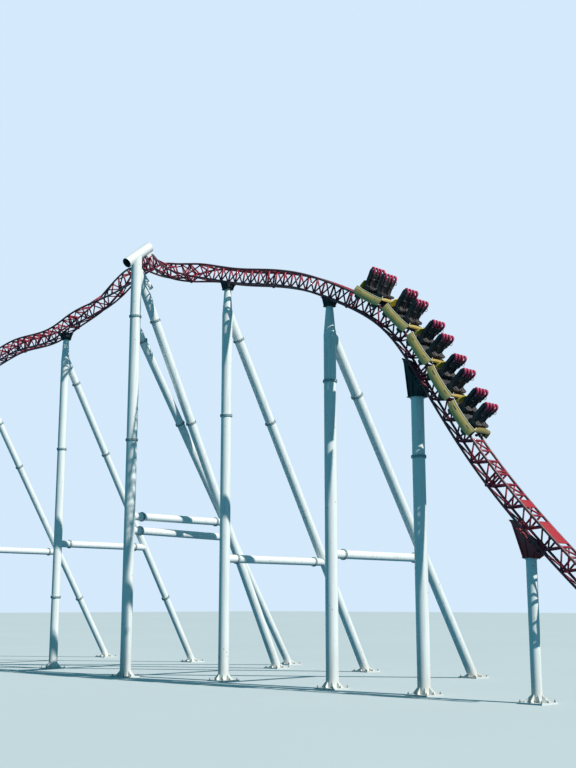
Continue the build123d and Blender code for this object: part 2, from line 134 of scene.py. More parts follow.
def track_route():
    """Centre line of the track before the roll lifts it, as one curve."""
    way, steps, slopes = track_slopes(ROUTE_POINTS)
    curve = bpy.data.curves.new("track_route", "CURVE")
    curve.dimensions = "3D"
    curve.resolution_u = 48
    spline = curve.splines.new("BEZIER")
    spline.bezier_points.add(len(way) - 1)
    for k, point in enumerate(spline.bezier_points):
        before = steps[max(k - 1, 0)] / 3
        after = steps[min(k, len(steps) - 1)] / 3
        point.handle_left_type = point.handle_right_type = "FREE"
        point.co = (way[k, 0], TRACK_Y, way[k, 1])
        point.handle_left = (way[k, 0] - slopes[k, 0] * before, TRACK_Y, way[k, 1] - slopes[k, 1] * before)
        point.handle_right = (way[k, 0] + slopes[k, 0] * after, TRACK_Y, way[k, 1] + slopes[k, 1] * after)
    return curve


class Stations:
    """Where the track is at each distance along it, for the pieces that are built by hand."""

    def __init__(self):
        way, steps, slopes = track_slopes(ROUTE_POINTS)
        share = np.linspace(0, 1, 401)[:-1, None]
        runs = []
        for k, step in enumerate(steps):
            h00 = 2 * share ** 3 - 3 * share ** 2 + 1
            h10 = share ** 3 - 2 * share ** 2 + share
            h01 = 3 * share ** 2 - 2 * share ** 3
            h11 = share ** 3 - share ** 2
            bends = h10 * slopes[k] + h11 * slopes[k + 1]
            runs.append(h00 * way[k] + h01 * way[k + 1] + step * bends)
        self.line = np.concatenate(runs + [way[-1:]])
        lengths = np.linalg.norm(np.diff(self.line, axis=0), axis=1)
        self.distances = np.concatenate([[0], np.cumsum(lengths)])

    def distance_at(self, x):
        return float(np.interp(x, self.line[:, 0], self.distances))

    def point(self, distance):
        return [float(np.interp(distance, self.distances, self.line[:, axis])) for axis in (0, 1)]

    def matrix(self, distance):
        """Matrix whose X runs across the track, Y up from its middle and Z along it."""
        x, z = self.point(distance)
        x0, z0 = self.point(distance - 0.004)
        x1, z1 = self.point(distance + 0.004)
        along = Vector((x1 - x0, 0, z1 - z0)).normalized()
        normal = Vector((-along.z, 0, along.x))
        length = ROLL["Roll end"] - ROLL["Roll start"]
        ramp = ROLL["Roll ramp"]
        run = min(max(x - ROLL["Roll start"], 0), length)
        bends = min(run, ramp) ** 2 - max(run - length + ramp, 0) ** 2
        turn = bends / (2 * ramp) + max(run - ramp, 0)
        roll = 2 * pi * turn / (length - ramp)
        up = normal * cos(roll) - Vector((0, 1, 0)) * sin(roll)
        middle = Vector((x, TRACK_Y, z)) + (normal - up) * ROLL["Heartline height"]
        across = up.cross(along)
        turned = Matrix((across, up, along)).transposed()
        return Matrix.Translation(middle) @ turned.to_4x4()


stations = Stations()
BAY = stations.distance_at(PYLON_ROUTE_X) / BAYS_BEFORE_PYLON
SECTION_LENGTH = BAY * HALF_BAYS / 2


class Tree:
    """Builds a node tree with few words: inputs are values or sockets, and outputs are sockets."""

    def __init__(self, name, kind, inputs, outputs):
        self.tree = bpy.data.node_groups.new(name, kind)
        for title, (socket, default) in inputs.items():
            made = self.tree.interface.new_socket(title, in_out="INPUT", socket_type="NodeSocket" + socket)
            if default is not None:
                made.default_value = default
        for title, socket in outputs.items():
            self.tree.interface.new_socket(title, in_out="OUTPUT", socket_type="NodeSocket" + socket)
        self.inside = self.tree.nodes.new("NodeGroupInput")
        self.outside = self.tree.nodes.new("NodeGroupOutput")

    def __getitem__(self, title):
        return self.inside.outputs[title]

    def put(self, socket, value):
        if isinstance(value, bpy.types.NodeSocket):
            self.tree.links.new(value, socket)
        else:
            socket.default_value = value

    def add(self, kind, values=(), **settings):
        node = self.tree.nodes.new(kind)
        for name, value in settings.items():
            setattr(node, name, value)
        pairs = values.items() if isinstance(values, dict) else enumerate(values)
        for key, value in pairs:
            self.put(node.inputs[key], value)
        return node

    def use(self, tree, values):
        kind = "GeometryNodeGroup" if self.tree.bl_idname == "GeometryNodeTree" else "ShaderNodeGroup"
        node = self.tree.nodes.new(kind)
        node.node_tree = tree
        for socket in node.inputs:
            if socket.name in values:
                self.put(socket, values[socket.name])
            elif socket.name in self.inside.outputs:
                self.put(socket, self.inside.outputs[socket.name])
        return node

    def math(self, operation, *values):
        return self.add("ShaderNodeMath", values, operation=operation).outputs[0]

    def plus(self, first, second):
        return self.math("ADD", first, second)

    def minus(self, first, second):
        return self.math("SUBTRACT", first, second)

    def times(self, first, second):
        return self.math("MULTIPLY", first, second)

    def over(self, first, second):
        return self.math("DIVIDE", first, second)

    def vector(self, operation, *values):
        node = self.add("ShaderNodeVectorMath", values, operation=operation)
        return node.outputs["Value" if operation in ("DOT_PRODUCT", "LENGTH") else "Vector"]

    def scaled(self, vector, factor):
        return self.add("ShaderNodeVectorMath", {0: vector, "Scale": factor}, operation="SCALE").outputs[0]

    def ramp(self, value, low, high):
        """Share of the way that a value has gone from a low to a high limit, kept between 0 and 1."""
        return self.add("ShaderNodeMapRange", (value, low, high)).outputs[0]

    def mix(self, first, second, share):
        node = self.tree.nodes.new("ShaderNodeMix")
        node.data_type = "RGBA"
        self.put(node.inputs[0], share)
        self.put(node.inputs[6], first)
        self.put(node.inputs[7], second)
        return node.outputs[2]

    def xyz(self, x, y, z):
        return self.add("ShaderNodeCombineXYZ", (x, y, z)).outputs[0]

    def end(self, **values):
        for title, value in values.items():
            self.put(self.outside.inputs[title.replace("_", " ")], value)
        return self.tree


TRACK_INPUTS = {
    "Route": ("Geometry", None), "Roll start": ("Float", 0.0), "Roll end": ("Float", 1.0),
    "Roll ramp": ("Float", 1.0), "Heartline height": ("Float", 0.0),
}


def track_place_tree():
    """Group that turns a distance along the track and an offset from its middle into a point."""
    t = Tree("Place on track", "GeometryNodeTree", {
        **TRACK_INPUTS, "Distance": ("Float", 0.0), "Offset": ("Vector", None),
    }, {"Position": "Vector", "Up": "Vector", "Along": "Vector"})
    sample = t.add("GeometryNodeSampleCurve", {"Curves": t["Route"], "Length": t["Distance"]}, mode="LENGTH")
    point = sample.outputs["Position"]
    along = t.vector("NORMALIZE", sample.outputs["Tangent"])
    flat = t.add("ShaderNodeSeparateXYZ", (along,)).outputs
    normal = t.xyz(t.times(flat[2], -1.0), 0.0, flat[0])
    x = t.add("ShaderNodeSeparateXYZ", (point,)).outputs[0]
    ramp = t["Roll ramp"]
    length = t.minus(t["Roll end"], t["Roll start"])
    plateau = t.minus(length, ramp)
    run = t.math("MINIMUM", t.math("MAXIMUM", t.minus(x, t["Roll start"]), 0.0), length)
    opening = t.math("POWER", t.math("MINIMUM", run, ramp), 2.0)
    closing = t.math("POWER", t.math("MAXIMUM", t.minus(run, plateau), 0.0), 2.0)
    bends = t.over(t.minus(opening, closing), t.times(ramp, 2.0))
    turned = t.plus(bends, t.math("MAXIMUM", t.minus(run, ramp), 0.0))
    roll = t.times(t.over(turned, plateau), 2 * pi)
    side = t.xyz(0.0, t.times(t.math("SINE", roll), -1.0), 0.0)
    up = t.vector("ADD", t.scaled(normal, t.math("COSINE", roll)), side)
    lift = t.scaled(t.vector("SUBTRACT", normal, up), t["Heartline height"])
    offset = t.add("ShaderNodeSeparateXYZ", (t["Offset"],)).outputs
    place = t.vector("ADD", point, lift)
    place = t.vector("ADD", place, t.scaled(t.vector("CROSS_PRODUCT", up, along), offset[0]))
    place = t.vector("ADD", place, t.scaled(up, offset[1]))
    place = t.vector("ADD", place, t.scaled(along, offset[2]))
    return t.end(Position=place, Up=up, Along=along)


PLACE = track_place_tree()


def track_bars_tree():
    """Group that sets a row of round bars, each between two points of the track."""
    t = Tree("Bars on track", "GeometryNodeTree", {
        **TRACK_INPUTS, "First": ("Float", 0.0), "Step": ("Float", 1.0), "Count": ("Int", 1),
        "Start": ("Vector", None), "End": ("Vector", None), "Reach": ("Float", 0.0),
        "Diameter": ("Float", 0.05), "Sides": ("Int", 8),
    }, {"Bars": "Geometry"})
    index = t.add("GeometryNodeInputIndex").outputs[0]
    distance = t.plus(t["First"], t.times(index, t["Step"]))
    start = t.use(PLACE, {"Distance": distance, "Offset": t["Start"]}).outputs["Position"]
    far = t.plus(distance, t["Reach"])
    end = t.use(PLACE, {"Distance": far, "Offset": t["End"]}).outputs["Position"]
    run = t.vector("SUBTRACT", end, start)
    points = t.add("GeometryNodePoints", {"Count": t["Count"], "Position": start}).outputs[0]
    bar = t.add("GeometryNodeMeshCylinder", {
        "Vertices": t["Sides"], "Radius": 0.5, "Depth": 1.0}, fill_type="NGON")
    smooth = t.add("GeometryNodeSetShadeSmooth", {0: bar.outputs[0]}).outputs[0]
    moved = t.add("GeometryNodeTransform", {"Geometry": smooth, "Translation": (0, 0, 0.5)}).outputs[0]
    turn = t.add("FunctionNodeAlignRotationToVector", {"Vector": run}, axis="Z").outputs[0]
    size = t.xyz(t["Diameter"], t["Diameter"], t.vector("LENGTH", run))
    placed = t.add("GeometryNodeInstanceOnPoints", {
        "Points": points, "Instance": moved, "Rotation": turn, "Scale": size})
    return t.end(Bars=placed.outputs[0])


def track_tube_tree():
    """Group that runs a round tube along the track at an offset from its middle."""
    t = Tree("Tube on track", "GeometryNodeTree", {
        **TRACK_INPUTS, "First": ("Float", 0.0), "Length": ("Float", 1.0), "Steps": ("Int", 40),
        "Offset": ("Vector", None), "Diameter": ("Float", 0.07), "Sides": ("Int", 12),
        "Tread": ("Float", 0.0),
    }, {"Tube": "Geometry"})
    index = t.add("GeometryNodeInputIndex").outputs[0]
    step = t.over(t["Length"], t["Steps"])
    distance = t.plus(t["First"], t.times(index, step))
    place = t.use(PLACE, {"Distance": distance, "Offset": t["Offset"]})
    line = t.add("GeometryNodeMeshLine", {"Count": t.plus(t["Steps"], 1.0)}).outputs[0]
    line = t.add("GeometryNodeSetPosition", {
        "Geometry": line, "Position": place.outputs["Position"]}).outputs[0]
    facing = t.scaled(place.outputs["Up"], t["Tread"])
    line = t.add("GeometryNodeStoreNamedAttribute", {
        "Geometry": line, "Name": "tread", "Value": facing}, data_type="FLOAT_VECTOR").outputs[0]
    curve = t.add("GeometryNodeMeshToCurve", {"Mesh": line}).outputs[0]
    ring = t.add("GeometryNodeCurvePrimitiveCircle", {
        "Resolution": t["Sides"], "Radius": t.over(t["Diameter"], 2.0)}).outputs[0]
    tube = t.add("GeometryNodeCurveToMesh", {"Curve": curve, "Profile Curve": ring, "Fill Caps": True})
    return t.end(Tube=tube.outputs[0])


BARS = track_bars_tree()
TUBE = track_tube_tree()


def track_section_tree():
    """The lattice of one track section: rails, chords, rungs, posts, zigzags and diagonals."""
    t = Tree("Track section", "GeometryNodeTree", {
        **TRACK_INPUTS, "First": ("Float", 0.0), "Length": ("Float", 4.9),
        "Rail spacing": ("Float", RAIL_X * 2), "Chord spacing": ("Float", CHORD_X * 2),
        "Depth": ("Float", RAIL_Z * 2),
        "Rail diameter": ("Float", RAIL_DIAMETER), "Chord diameter": ("Float", CHORD_DIAMETER),
        "Rung diameter": ("Float", RUNG_DIAMETER), "Brace diameter": ("Float", BRACE_DIAMETER),
        "End inset": ("Float", FLANGE_THICKNESS + RUNG_DIAMETER / 2), "Paint": ("Material", None),
        "Flange diameter": ("Float", FLANGE_DIAMETER), "Flange thickness": ("Float", FLANGE_THICKNESS),
        "Rail flange diameter": ("Float", RAIL_FLANGE), "Rail shaded paint": ("Material", None),
        "Bolt steel": ("Material", None),
    }, {"Lattice": "Geometry"})
    rail = t.over(t["Rail spacing"], 2.0)
    chord = t.over(t["Chord spacing"], 2.0)
    high = t.over(t["Depth"], 2.0)
    low = t.times(high, -1.0)
    first = t.plus(t["First"], t["End inset"])
    inner = t.minus(t["Length"], t.times(t["End inset"], 2.0))
    bays = HALF_BAYS // 2
    half = t.over(inner, float(HALF_BAYS))
    bay = t.times(half, 2.0)
    next_half = t.plus(first, half)
    sides = [(t.times(rail, sign), t.times(chord, sign)) for sign in (-1.0, 1.0)]
    bracing, rails, bolts = [], [], []

    def tube(across, up, diameter, tread):
        values = {"Offset": t.xyz(across, up, 0.0), "Diameter": diameter, "Tread": tread}
        rails.append(t.use(TUBE, values).outputs[0])

    def bars(begin, step, count, start, end, reach, diameter):
        values = {"First": begin, "Step": step, "Count": count, "Start": start, "End": end,
                  "Reach": reach, "Diameter": diameter}
        bracing.append(t.use(BARS, values).outputs[0])

    def disc(begin, across, up, reach, diameter, edges):
        middle = t.xyz(across, up, 0.0)
        values = {"First": begin, "Count": 1, "Start": middle, "End": middle, "Reach": reach,
                  "Diameter": diameter, "Sides": edges}
        return t.use(BARS, values).outputs[0]

    rung, brace = t["Rung diameter"], t["Brace diameter"]
    for rail_x, chord_x in sides:
        tube(rail_x, high, t["Rail diameter"], 1.0)
        tube(chord_x, low, t["Chord diameter"], 0.0)
        head = t.xyz(chord_x, high, 0.0)
        foot = t.xyz(chord_x, low, 0.0)
        bars(first, bay, bays + 1, head, foot, 0.0, rung)
        bars(first, bay, bays, foot, head, half, brace)
        bars(next_half, bay, bays, head, foot, half, brace)
    (left, left_chord), (right, right_chord) = sides
    rail_ends = t.xyz(left, high, 0.0), t.xyz(right, high, 0.0)
    chord_ends = t.xyz(left_chord, low, 0.0), t.xyz(right_chord, low, 0.0)
    bars(first, half, HALF_BAYS + 1, *rail_ends, 0.0, rung)
    bars(first, bay, bays + 1, *chord_ends, 0.0, rung)
    bars(next_half, bay, bays, *rail_ends, half, brace)
    bars(first, bay, bays, *chord_ends, bay, brace)

    thick = t["Flange thickness"]
    last = t.minus(t.plus(t["First"], t["Length"]), thick)
    below = t.minus(high, RAIL_FLANGE_DROP)
    proud = FLANGE_BOLTS["proud"]
    flanges = (
        (t.plus(left, RAIL_FLANGE_INSET), below, t["Rail flange diameter"]),
        (t.minus(right, RAIL_FLANGE_INSET), below, t["Rail flange diameter"]),
        (left_chord, low, t["Flange diameter"]), (right_chord, low, t["Flange diameter"]),
    )
    for across, up, diameter in flanges:
        circle = t.times(diameter, FLANGE_BOLTS["circle"])
        size = t.times(diameter, FLANGE_BOLTS["size"])
        for begin in (t["First"], last):
            rails.append(disc(begin, across, up, thick, diameter, 20))
            for k in range(FLANGE_BOLTS["count"]):
                angle = 2 * pi * (k + 0.5) / FLANGE_BOLTS["count"]
                x = t.plus(across, t.times(circle, cos(angle)))
                y = t.plus(up, t.times(circle, sin(angle)))
                start = t.minus(begin, proud)
                bolts.append(disc(start, x, y, t.plus(thick, 2 * proud), size, 6))
    joined = t.add("GeometryNodeJoinGeometry")
    for group, look in ((bracing, t["Paint"]), (rails, t["Rail shaded paint"]), (bolts, t["Bolt steel"])):
        heap = t.add("GeometryNodeJoinGeometry")
        for part in group:
            t.tree.links.new(part, heap.inputs[0])
        real = t.add("GeometryNodeRealizeInstances", {0: heap.outputs[0]}).outputs[0]
        covered = t.add("GeometryNodeSetMaterial", {"Geometry": real, "Material": look}).outputs[0]
        t.tree.links.new(covered, joined.inputs[0])
    return t.end(Lattice=joined.outputs[0])


def link(name, data):
    """New object of the scene, at the origin."""
    made = bpy.data.objects.new(name, data)
    scene.collection.objects.link(made)
    return made


def grow(tree, source, name, values):
    """Runs a Geometry Nodes tree on a curve or mesh and keeps what it makes as a plain mesh."""
    holder = link("holder", source)
    modifier = holder.modifiers.new("shape", "NODES")
    modifier.node_group = tree
    for item in tree.interface.items_tree:
        if item.item_type == "SOCKET" and item.in_out == "INPUT" and item.name in values:
            modifier[item.identifier] = values[item.name]
    graph = bpy.context.evaluated_depsgraph_get()
    mesh = bpy.data.meshes.new_from_object(holder.evaluated_get(graph), depsgraph=graph)
    holder.modifiers.clear()
    bpy.data.objects.remove(holder)
    mesh.name = name
    return link(name, mesh)


def mount(piece, slot, *nodes):
    """Lets a piece ride on the fixed plant and hides the solids that it stands for; its slot is not used."""
    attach(piece, "root")
    if nodes:
        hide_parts(*nodes)


# Shared surface effects
def wear_tree():
    """Group that weathers a paint with patchy fading, rain streaks, dust and fine grain."""
    t = Tree("Weathered paint", "ShaderNodeTree", {
        "Paint": ("Color", (1, 1, 1, 1)), "Streak": ("Color", (0.2, 0.2, 0.2, 1)),
        "Streak amount": ("Float", 0.3), "Fading": ("Float", 0.15), "Dust": ("Color", (0.5, 0.45, 0.38, 1)),
        "Dust amount": ("Float", 0.2), "Dust height": ("Float", 2.5), "Gloss": ("Float", 0.35),
        "Patch scale": ("Float", 0.8),
    }, {"Color": "Color", "Roughness": "Float", "Height": "Float"})
    place = t.add("ShaderNodeTexCoord").outputs["Object"]
    patches = t.add("ShaderNodeTexNoise", {
        "Vector": place, "Scale": t["Patch scale"], "Detail": 6.0, "Roughness": 0.6}).outputs[0]
    long = t.vector("MULTIPLY", place, (9.0, 9.0, 0.35))
    runs = t.add("ShaderNodeTexNoise", {
        "Vector": long, "Scale": 1.6, "Detail": 5.0, "Roughness": 0.65}).outputs[0]
    runs = t.times(t.ramp(runs, 0.5, 0.72), t["Streak amount"])
    grain = t.add("ShaderNodeTexNoise", {"Vector": place, "Scale": 45.0, "Detail": 3.0}).outputs[0]
    up = t.add("ShaderNodeSeparateXYZ", (place,)).outputs[2]
    low = t.minus(1.0, t.math("MINIMUM", t.over(up, t["Dust height"]), 1.0))
    facing = t.add("ShaderNodeSeparateXYZ", (t.add("ShaderNodeNewGeometry").outputs["Normal"],)).outputs[2]
    ledge = t.times(t.ramp(facing, 0.55, 0.95), 0.6)
    dust = t.times(t.math("MAXIMUM", low, ledge), t["Dust amount"])
    dust = t.times(dust, t.ramp(patches, 0.3, 0.7))
    faded = t.times(t.ramp(patches, 0.35, 0.75), t["Fading"])
    color = t.mix(t["Paint"], (1, 1, 1, 1), t.times(faded, 0.5))
    color = t.mix(color, t["Streak"], runs)
    color = t.mix(color, t["Dust"], dust)
    rough = t.plus(t["Gloss"], t.times(t.ramp(patches, 0.3, 0.8), 0.18))
    rough = t.plus(rough, t.times(t.plus(runs, dust), 0.35))
    height = t.plus(t.times(grain, 0.5), t.times(patches, 0.5))
    return t.end(Color=color, Roughness=rough, Height=height)


def chips_tree():
    """Group that lays bare metal, or a second coat, over a paint in small scattered chips."""
    t = Tree("Chipped spots", "ShaderNodeTree", {
        "Base": ("Color", (1, 1, 1, 1)), "Bare": ("Color", (0.2, 0.1, 0.06, 1)), "Amount": ("Float", 0.5),
        "Spot scale": ("Float", 12.0),
    }, {"Color": "Color"})
    place = t.add("ShaderNodeTexCoord").outputs["Object"]
    wide = t.add("ShaderNodeTexNoise", {"Vector": place, "Scale": 2.2, "Detail": 2.0}).outputs[0]
    fine = t.add("ShaderNodeTexVoronoi", {"Vector": place, "Scale": t["Spot scale"]}).outputs["Distance"]
    spots = t.minus(1.0, t.ramp(fine, 0.08, 0.16))
    spots = t.times(t.times(spots, t.ramp(wide, 0.52, 0.62)), t["Amount"])
    return t.end(Color=t.mix(t["Base"], t["Bare"], spots))


def tread_tree():
    """Group that marks where wheels run on a rail, from the direction that its tread faces."""
    t = Tree("Wheel tread", "ShaderNodeTree", {}, {"Worn": "Float"})
    facing = t.add("ShaderNodeAttribute", attribute_name="tread").outputs["Vector"]
    normal = t.add("ShaderNodeNewGeometry").outputs["Normal"]
    place = t.add("ShaderNodeTexCoord").outputs["Object"]
    ragged = t.add("ShaderNodeTexNoise", {"Vector": place, "Scale": 7.0, "Detail": 4.0}).outputs[0]
    level = t.plus(t.vector("DOT_PRODUCT", facing, normal), t.times(ragged, 0.22))
    return t.end(Worn=t.ramp(level, 0.98, 1.08))


WEAR = wear_tree()
CHIPS = chips_tree()
TREAD = tread_tree()


class Finish:
    """A material with the weathered coat on its shader, and room for more nodes."""

    def __init__(self, name, colour, gloss=0.35, metal=0.0, coat=0.0, bump=0.05, **coat_values):
        self.material = bpy.data.materials.new(name)
        self.material.use_nodes = True
        self.nodes, self.links = self.material.node_tree.nodes, self.material.node_tree.links
        self.shader = self.nodes["Principled BSDF"]
        self.shader.inputs["Metallic"].default_value = metal
        self.shader.inputs["Coat Weight"].default_value = coat
        self.wear = self.group(WEAR)
        self.wear.inputs["Paint"].default_value = (*colour, 1)
        self.wear.inputs["Gloss"].default_value = gloss
        for title, value in coat_values.items():
            self.wear.inputs[title.replace("_", " ").capitalize()].default_value = value
        self.links.new(self.wear.outputs["Color"], self.shader.inputs["Base Color"])
        self.links.new(self.wear.outputs["Roughness"], self.shader.inputs["Roughness"])
        self.bump = self.nodes.new("ShaderNodeBump")
        self.bump.inputs["Strength"].default_value = bump
        self.bump.inputs["Distance"].default_value = 0.01
        self.links.new(self.wear.outputs["Height"], self.bump.inputs["Height"])
        self.links.new(self.bump.outputs[0], self.shader.inputs["Normal"])

    def group(self, tree):
        """Places one of the shared effects in this material."""
        node = self.nodes.new("ShaderNodeGroup")
        node.node_tree = tree
        return node

    def chips(self, bare, amount, scale=12.0):
        """Adds chips over whatever colour feeds the shader so far."""
        node = self.group(CHIPS)
        before = self.shader.inputs["Base Color"].links[0].from_socket
        self.links.new(before, node.inputs["Base"])
        node.inputs["Bare"].default_value = (*bare, 1)
        node.inputs["Amount"].default_value = amount
        node.inputs["Spot scale"].default_value = scale
        self.links.new(node.outputs["Color"], self.shader.inputs["Base Color"])
        return self

    def mix(self, first, second, share):
        """Feeds the shader a mix of two colours, each of them a value or what a node gives."""
        mixed = self.nodes.new("ShaderNodeMix")
        mixed.data_type = "RGBA"
        for place, value in ((0, share), (6, first), (7, second)):
            if isinstance(value, bpy.types.NodeSocket):
                self.links.new(value, mixed.inputs[place])
            else:
                mixed.inputs[place].default_value = value
        self.links.new(mixed.outputs[2], self.shader.inputs["Base Color"])

    def steel_tread(self, colour):
        """Adds the bright strip that wheels leave along a rail."""
        worn = self.group(TREAD).outputs["Worn"]
        before = self.shader.inputs["Base Color"].links[0].from_socket
        self.mix(before, (*colour, 1), worn)
        self.links.new(worn, self.shader.inputs["Metallic"])
        return self


RUST = (0.16, 0.055, 0.02)
RUST_RUN = (*RUST, 1)
GRIME = (0.03, 0.03, 0.03, 1)
SUPPORT_PAINT = Finish(
    "support paint", (0.84, 0.88, 0.87), 0.34, coat=0.15, streak=(0.30, 0.36, 0.36, 1), streak_amount=0.4,
    fading=0.2, dust_amount=0.6, dust_height=1.6).chips(RUST, 0.7, 5.0).material
FLANGE_PAINT = Finish(
    "flange paint", (0.10, 0.24, 0.28), 0.5, streak=RUST_RUN, streak_amount=0.5).chips(RUST, 0.8).material
BOLT_STEEL = Finish(
    "bolt steel", (0.22, 0.23, 0.23), 0.4, metal=0.8, streak=RUST_RUN, streak_amount=0.6).material
SADDLE_PAINT = Finish(
    "saddle paint", (0.012, 0.020, 0.026), 0.5, streak=GRIME, streak_amount=0.6).chips(RUST, 0.6).material
RED_SADDLE_PAINT = Finish(
    "red saddle paint", (0.36, 0.010, 0.022), 0.42, coat=0.2, streak=GRIME,
    streak_amount=0.6).chips(RUST, 0.6).material
# Near-black colour of the cross tube's lining: painted shade inside the tube.
BORE_SHADE_PAINT = Finish("bore painted shade", (0.02, 0.035, 0.04), 0.6, streak=RUST_RUN, streak_amount=0.6).material
# Rails, chords and their flange discs: the lattice crimson made much darker, a painted shade for the track's
# dark outlines; the bright tread strip is real wheel wear.
RAIL_SHADED_PAINT = Finish(
    "rail paint with painted shade", (0.16, 0.011, 0.028), 0.38, coat=0.2, streak=GRIME, streak_amount=0.4,
    dust_amount=0.1).chips(RUST, 0.5, 9.0).steel_tread((0.42, 0.40, 0.39)).material
LATTICE_PAINT = Finish(
    "lattice paint", (0.34, 0.011, 0.038), 0.36, coat=0.2, streak=(0.06, 0.004, 0.01, 1), streak_amount=0.5,
    fading=0.05, dust_amount=0.05).chips((0.08, 0.01, 0.01), 0.6).material
PLATE_PAINT = Finish(
    "plate paint", (0.38, 0.001, 0.014), 0.6, streak=(0.1, 0.004, 0.01, 1), fading=0.02,
    dust_amount=0.03).material
CHASSIS_STEEL = Finish(
    "chassis steel", (0.030, 0.030, 0.032), 0.42, metal=0.2, streak=(0.06, 0.045, 0.03, 1),
    dust_amount=0.3).chips((0.2, 0.19, 0.18), 0.5, 20.0).material
TYRE = Finish(
    "wheel tyre", (0.24, 0.10, 0.03), 0.6, streak=GRIME, streak_amount=0.6, patch_scale=9.0).material
CAR_PAINT = Finish(
    "car paint", (0.58, 0.42, 0.12), 0.26, coat=0.5, streak=(0.1, 0.085, 0.02, 1), streak_amount=0.3,
    dust_amount=0.15, patch_scale=2.0).material
TRIM_PAINT = Finish(
    "cream trim", (0.80, 0.78, 0.60), 0.3, coat=0.3, streak=(0.3, 0.28, 0.2, 1), patch_scale=3.0).material
FAIRING_PAINT = Finish(
    "fairing paint", (0.85, 0.60, 0.03), 0.22, coat=0.6, streak=(0.4, 0.25, 0.02, 1),
    patch_scale=2.0).material
SEAT_SHELL = Finish(
    "seat shell", (0.022, 0.014, 0.018), 0.5, bump=0.25, streak=(0.05, 0.05, 0.05, 1),
    patch_scale=6.0).material
PAD = Finish(
    "restraint pad", (0.50, 0.012, 0.085), 0.55, bump=0.2, streak=(0.2, 0.01, 0.03, 1),
    patch_scale=7.0).material


def floor_paint():
    """Pale floor for the camera that throws only a dim teal light back up at the supports."""
    pale = Finish(
        "floor", (0.56, 0.63, 0.65), 0.8, streak_amount=0.0, fading=0.1, dust_amount=0.0, patch_scale=0.05)
    ray = pale.nodes.new("ShaderNodeLightPath")
    pale.mix((0.02, 0.13, 0.20, 1), pale.wear.outputs["Color"], ray.outputs["Is Camera Ray"])
    return pale.material


FLOOR_PAINT = floor_paint()


# The track
route = track_route()
SECTION = track_section_tree()
for number in range(SECTIONS):
    lattice = grow(SECTION, route, "track_lattice_%d" % (number + 1), {
        **ROLL, "First": number * SECTION_LENGTH + JOINT_GAP, "Length": SECTION_LENGTH - 2 * JOINT_GAP,
        "Paint": LATTICE_PAINT, "Rail shaded paint": RAIL_SHADED_PAINT, "Bolt steel": BOLT_STEEL})
    mount(lattice, "track_paint", "track_section_%d" % (number + 1))


class Shape:
    """Collects closed shells in one mesh, each of them in one of the paints or metals of the piece."""

    def __init__(self, *looks):
        self.points = []
        self.faces = []
        self.marks = []
        self.looks = looks

    def loft(self, rings, look=None):
        """Shell through rings with the same number of points, capped at both ends."""
        start = len(self.points)
        count = len(rings[0])
        for ring in rings:
            self.points += [tuple(point) for point in ring]
        for k in range(len(rings) - 1):
            near = start + k * count
            far = near + count
            for j in range(count):
                after = (j + 1) % count
                self.faces.append((near + j, near + after, far + after, far + j))
        last = start + (len(rings) - 1) * count
        self.faces.append(tuple(start + j for j in reversed(range(count))))
        self.faces.append(tuple(last + j for j in range(count)))
        self.marks += [self.looks.index(look) if look else 0] * (len(self.faces) - len(self.marks))

    def box(self, low, high, look=None, bevel=0.006):
        """Box with bevelled edges along its top and bottom."""
        (x0, y0, z0), (x1, y1, z1) = low, high
        rings = []
        for z, inset in ((z0, bevel), (z0 + bevel, 0), (z1 - bevel, 0), (z1, bevel)):
            rings.append([(x0 + inset, y0 + inset, z), (x1 - inset, y0 + inset, z),
                          (x1 - inset, y1 - inset, z), (x0 + inset, y1 - inset, z)])
        self.loft(rings, look)

    def turned(self, centre, axis, profile, look=None, sides=24):
        """Part turned about an axis, with a profile of pairs: place along the axis and radius."""
        axis = Vector(axis).normalized()
        side = axis.orthogonal().normalized()
        other = axis.cross(side)
        spokes = [side * cos(2 * pi * k / sides) + other * sin(2 * pi * k / sides) for k in range(sides)]
        self.loft([[Vector(centre) + axis * along + spoke * radius for spoke in spokes]
                   for along, radius in profile], look)

    def rod(self, path, radius, look=None, sides=10):
        """Round rod along a path, with its ends cut square."""
        path = [Vector(point) for point in path]
        rings = []
        side = None
        for k, point in enumerate(path):
            along = (path[min(k + 1, len(path) - 1)] - path[max(k - 1, 0)]).normalized()
            side = along.orthogonal() if side is None else side - along * side.dot(along)
            side.normalize()
            other = along.cross(side)
            size = radius[k] if isinstance(radius, (list, tuple)) else radius
            rings.append([point + (side * cos(2 * pi * j / sides) + other * sin(2 * pi * j / sides)) * size
                          for j in range(sides)])
        self.loft(rings, look)

    def piece(self, name, matrix=None, angle=35):
        """The collected shells as one piece of the scene, in the place that a matrix gives."""
        mesh = bpy.data.meshes.new(name)
        points = self.points if matrix is None else [matrix @ Vector(point) for point in self.points]
        mesh.from_pydata(points, [], self.faces)
        for look in self.looks:
            mesh.materials.append(look)
        mesh.polygons.foreach_set("material_index", self.marks)
        work = bmesh.new()
        work.from_mesh(mesh)
        bmesh.ops.recalc_face_normals(work, faces=work.faces)
        work.to_mesh(mesh)
        work.free()
        mesh.shade_smooth()
        mesh.set_sharp_from_angle(angle=radians(angle))
        return link(name, mesh)


def both_ends(*profile):
    """Profile of a part that is the same at both ends, from its half on the far side."""
    return [(-along, radius) for along, radius in profile] + list(reversed(profile))


def smooth_path(points, steps):
    """Smooth curve through a few given points."""
    points = [Vector(point) for point in points]
    ends = [points[0] * 2 - points[1]] + points + [points[-1] * 2 - points[-2]]
    path = []
    for k in range(1, len(ends) - 2):
        a, b, c, d = ends[k - 1:k + 3]
        for j in range(steps):
            s = j / steps
            path.append((b * 2 + (c - a) * s + (a * 2 - b * 5 + c * 4 - d) * s ** 2
                         + (b * 3 - a - c * 3 + d) * s ** 3) / 2)
    return path + [points[-1]]


# Directions on the ground, then on the track and its cars, whose Y runs up and whose Z runs along
UPRIGHT = Vector((0, 0, 1))
OUTWARD = Vector((0, 1, 0))
ACROSS = Vector((1, 0, 0))
UP = Vector((0, 1, 0))

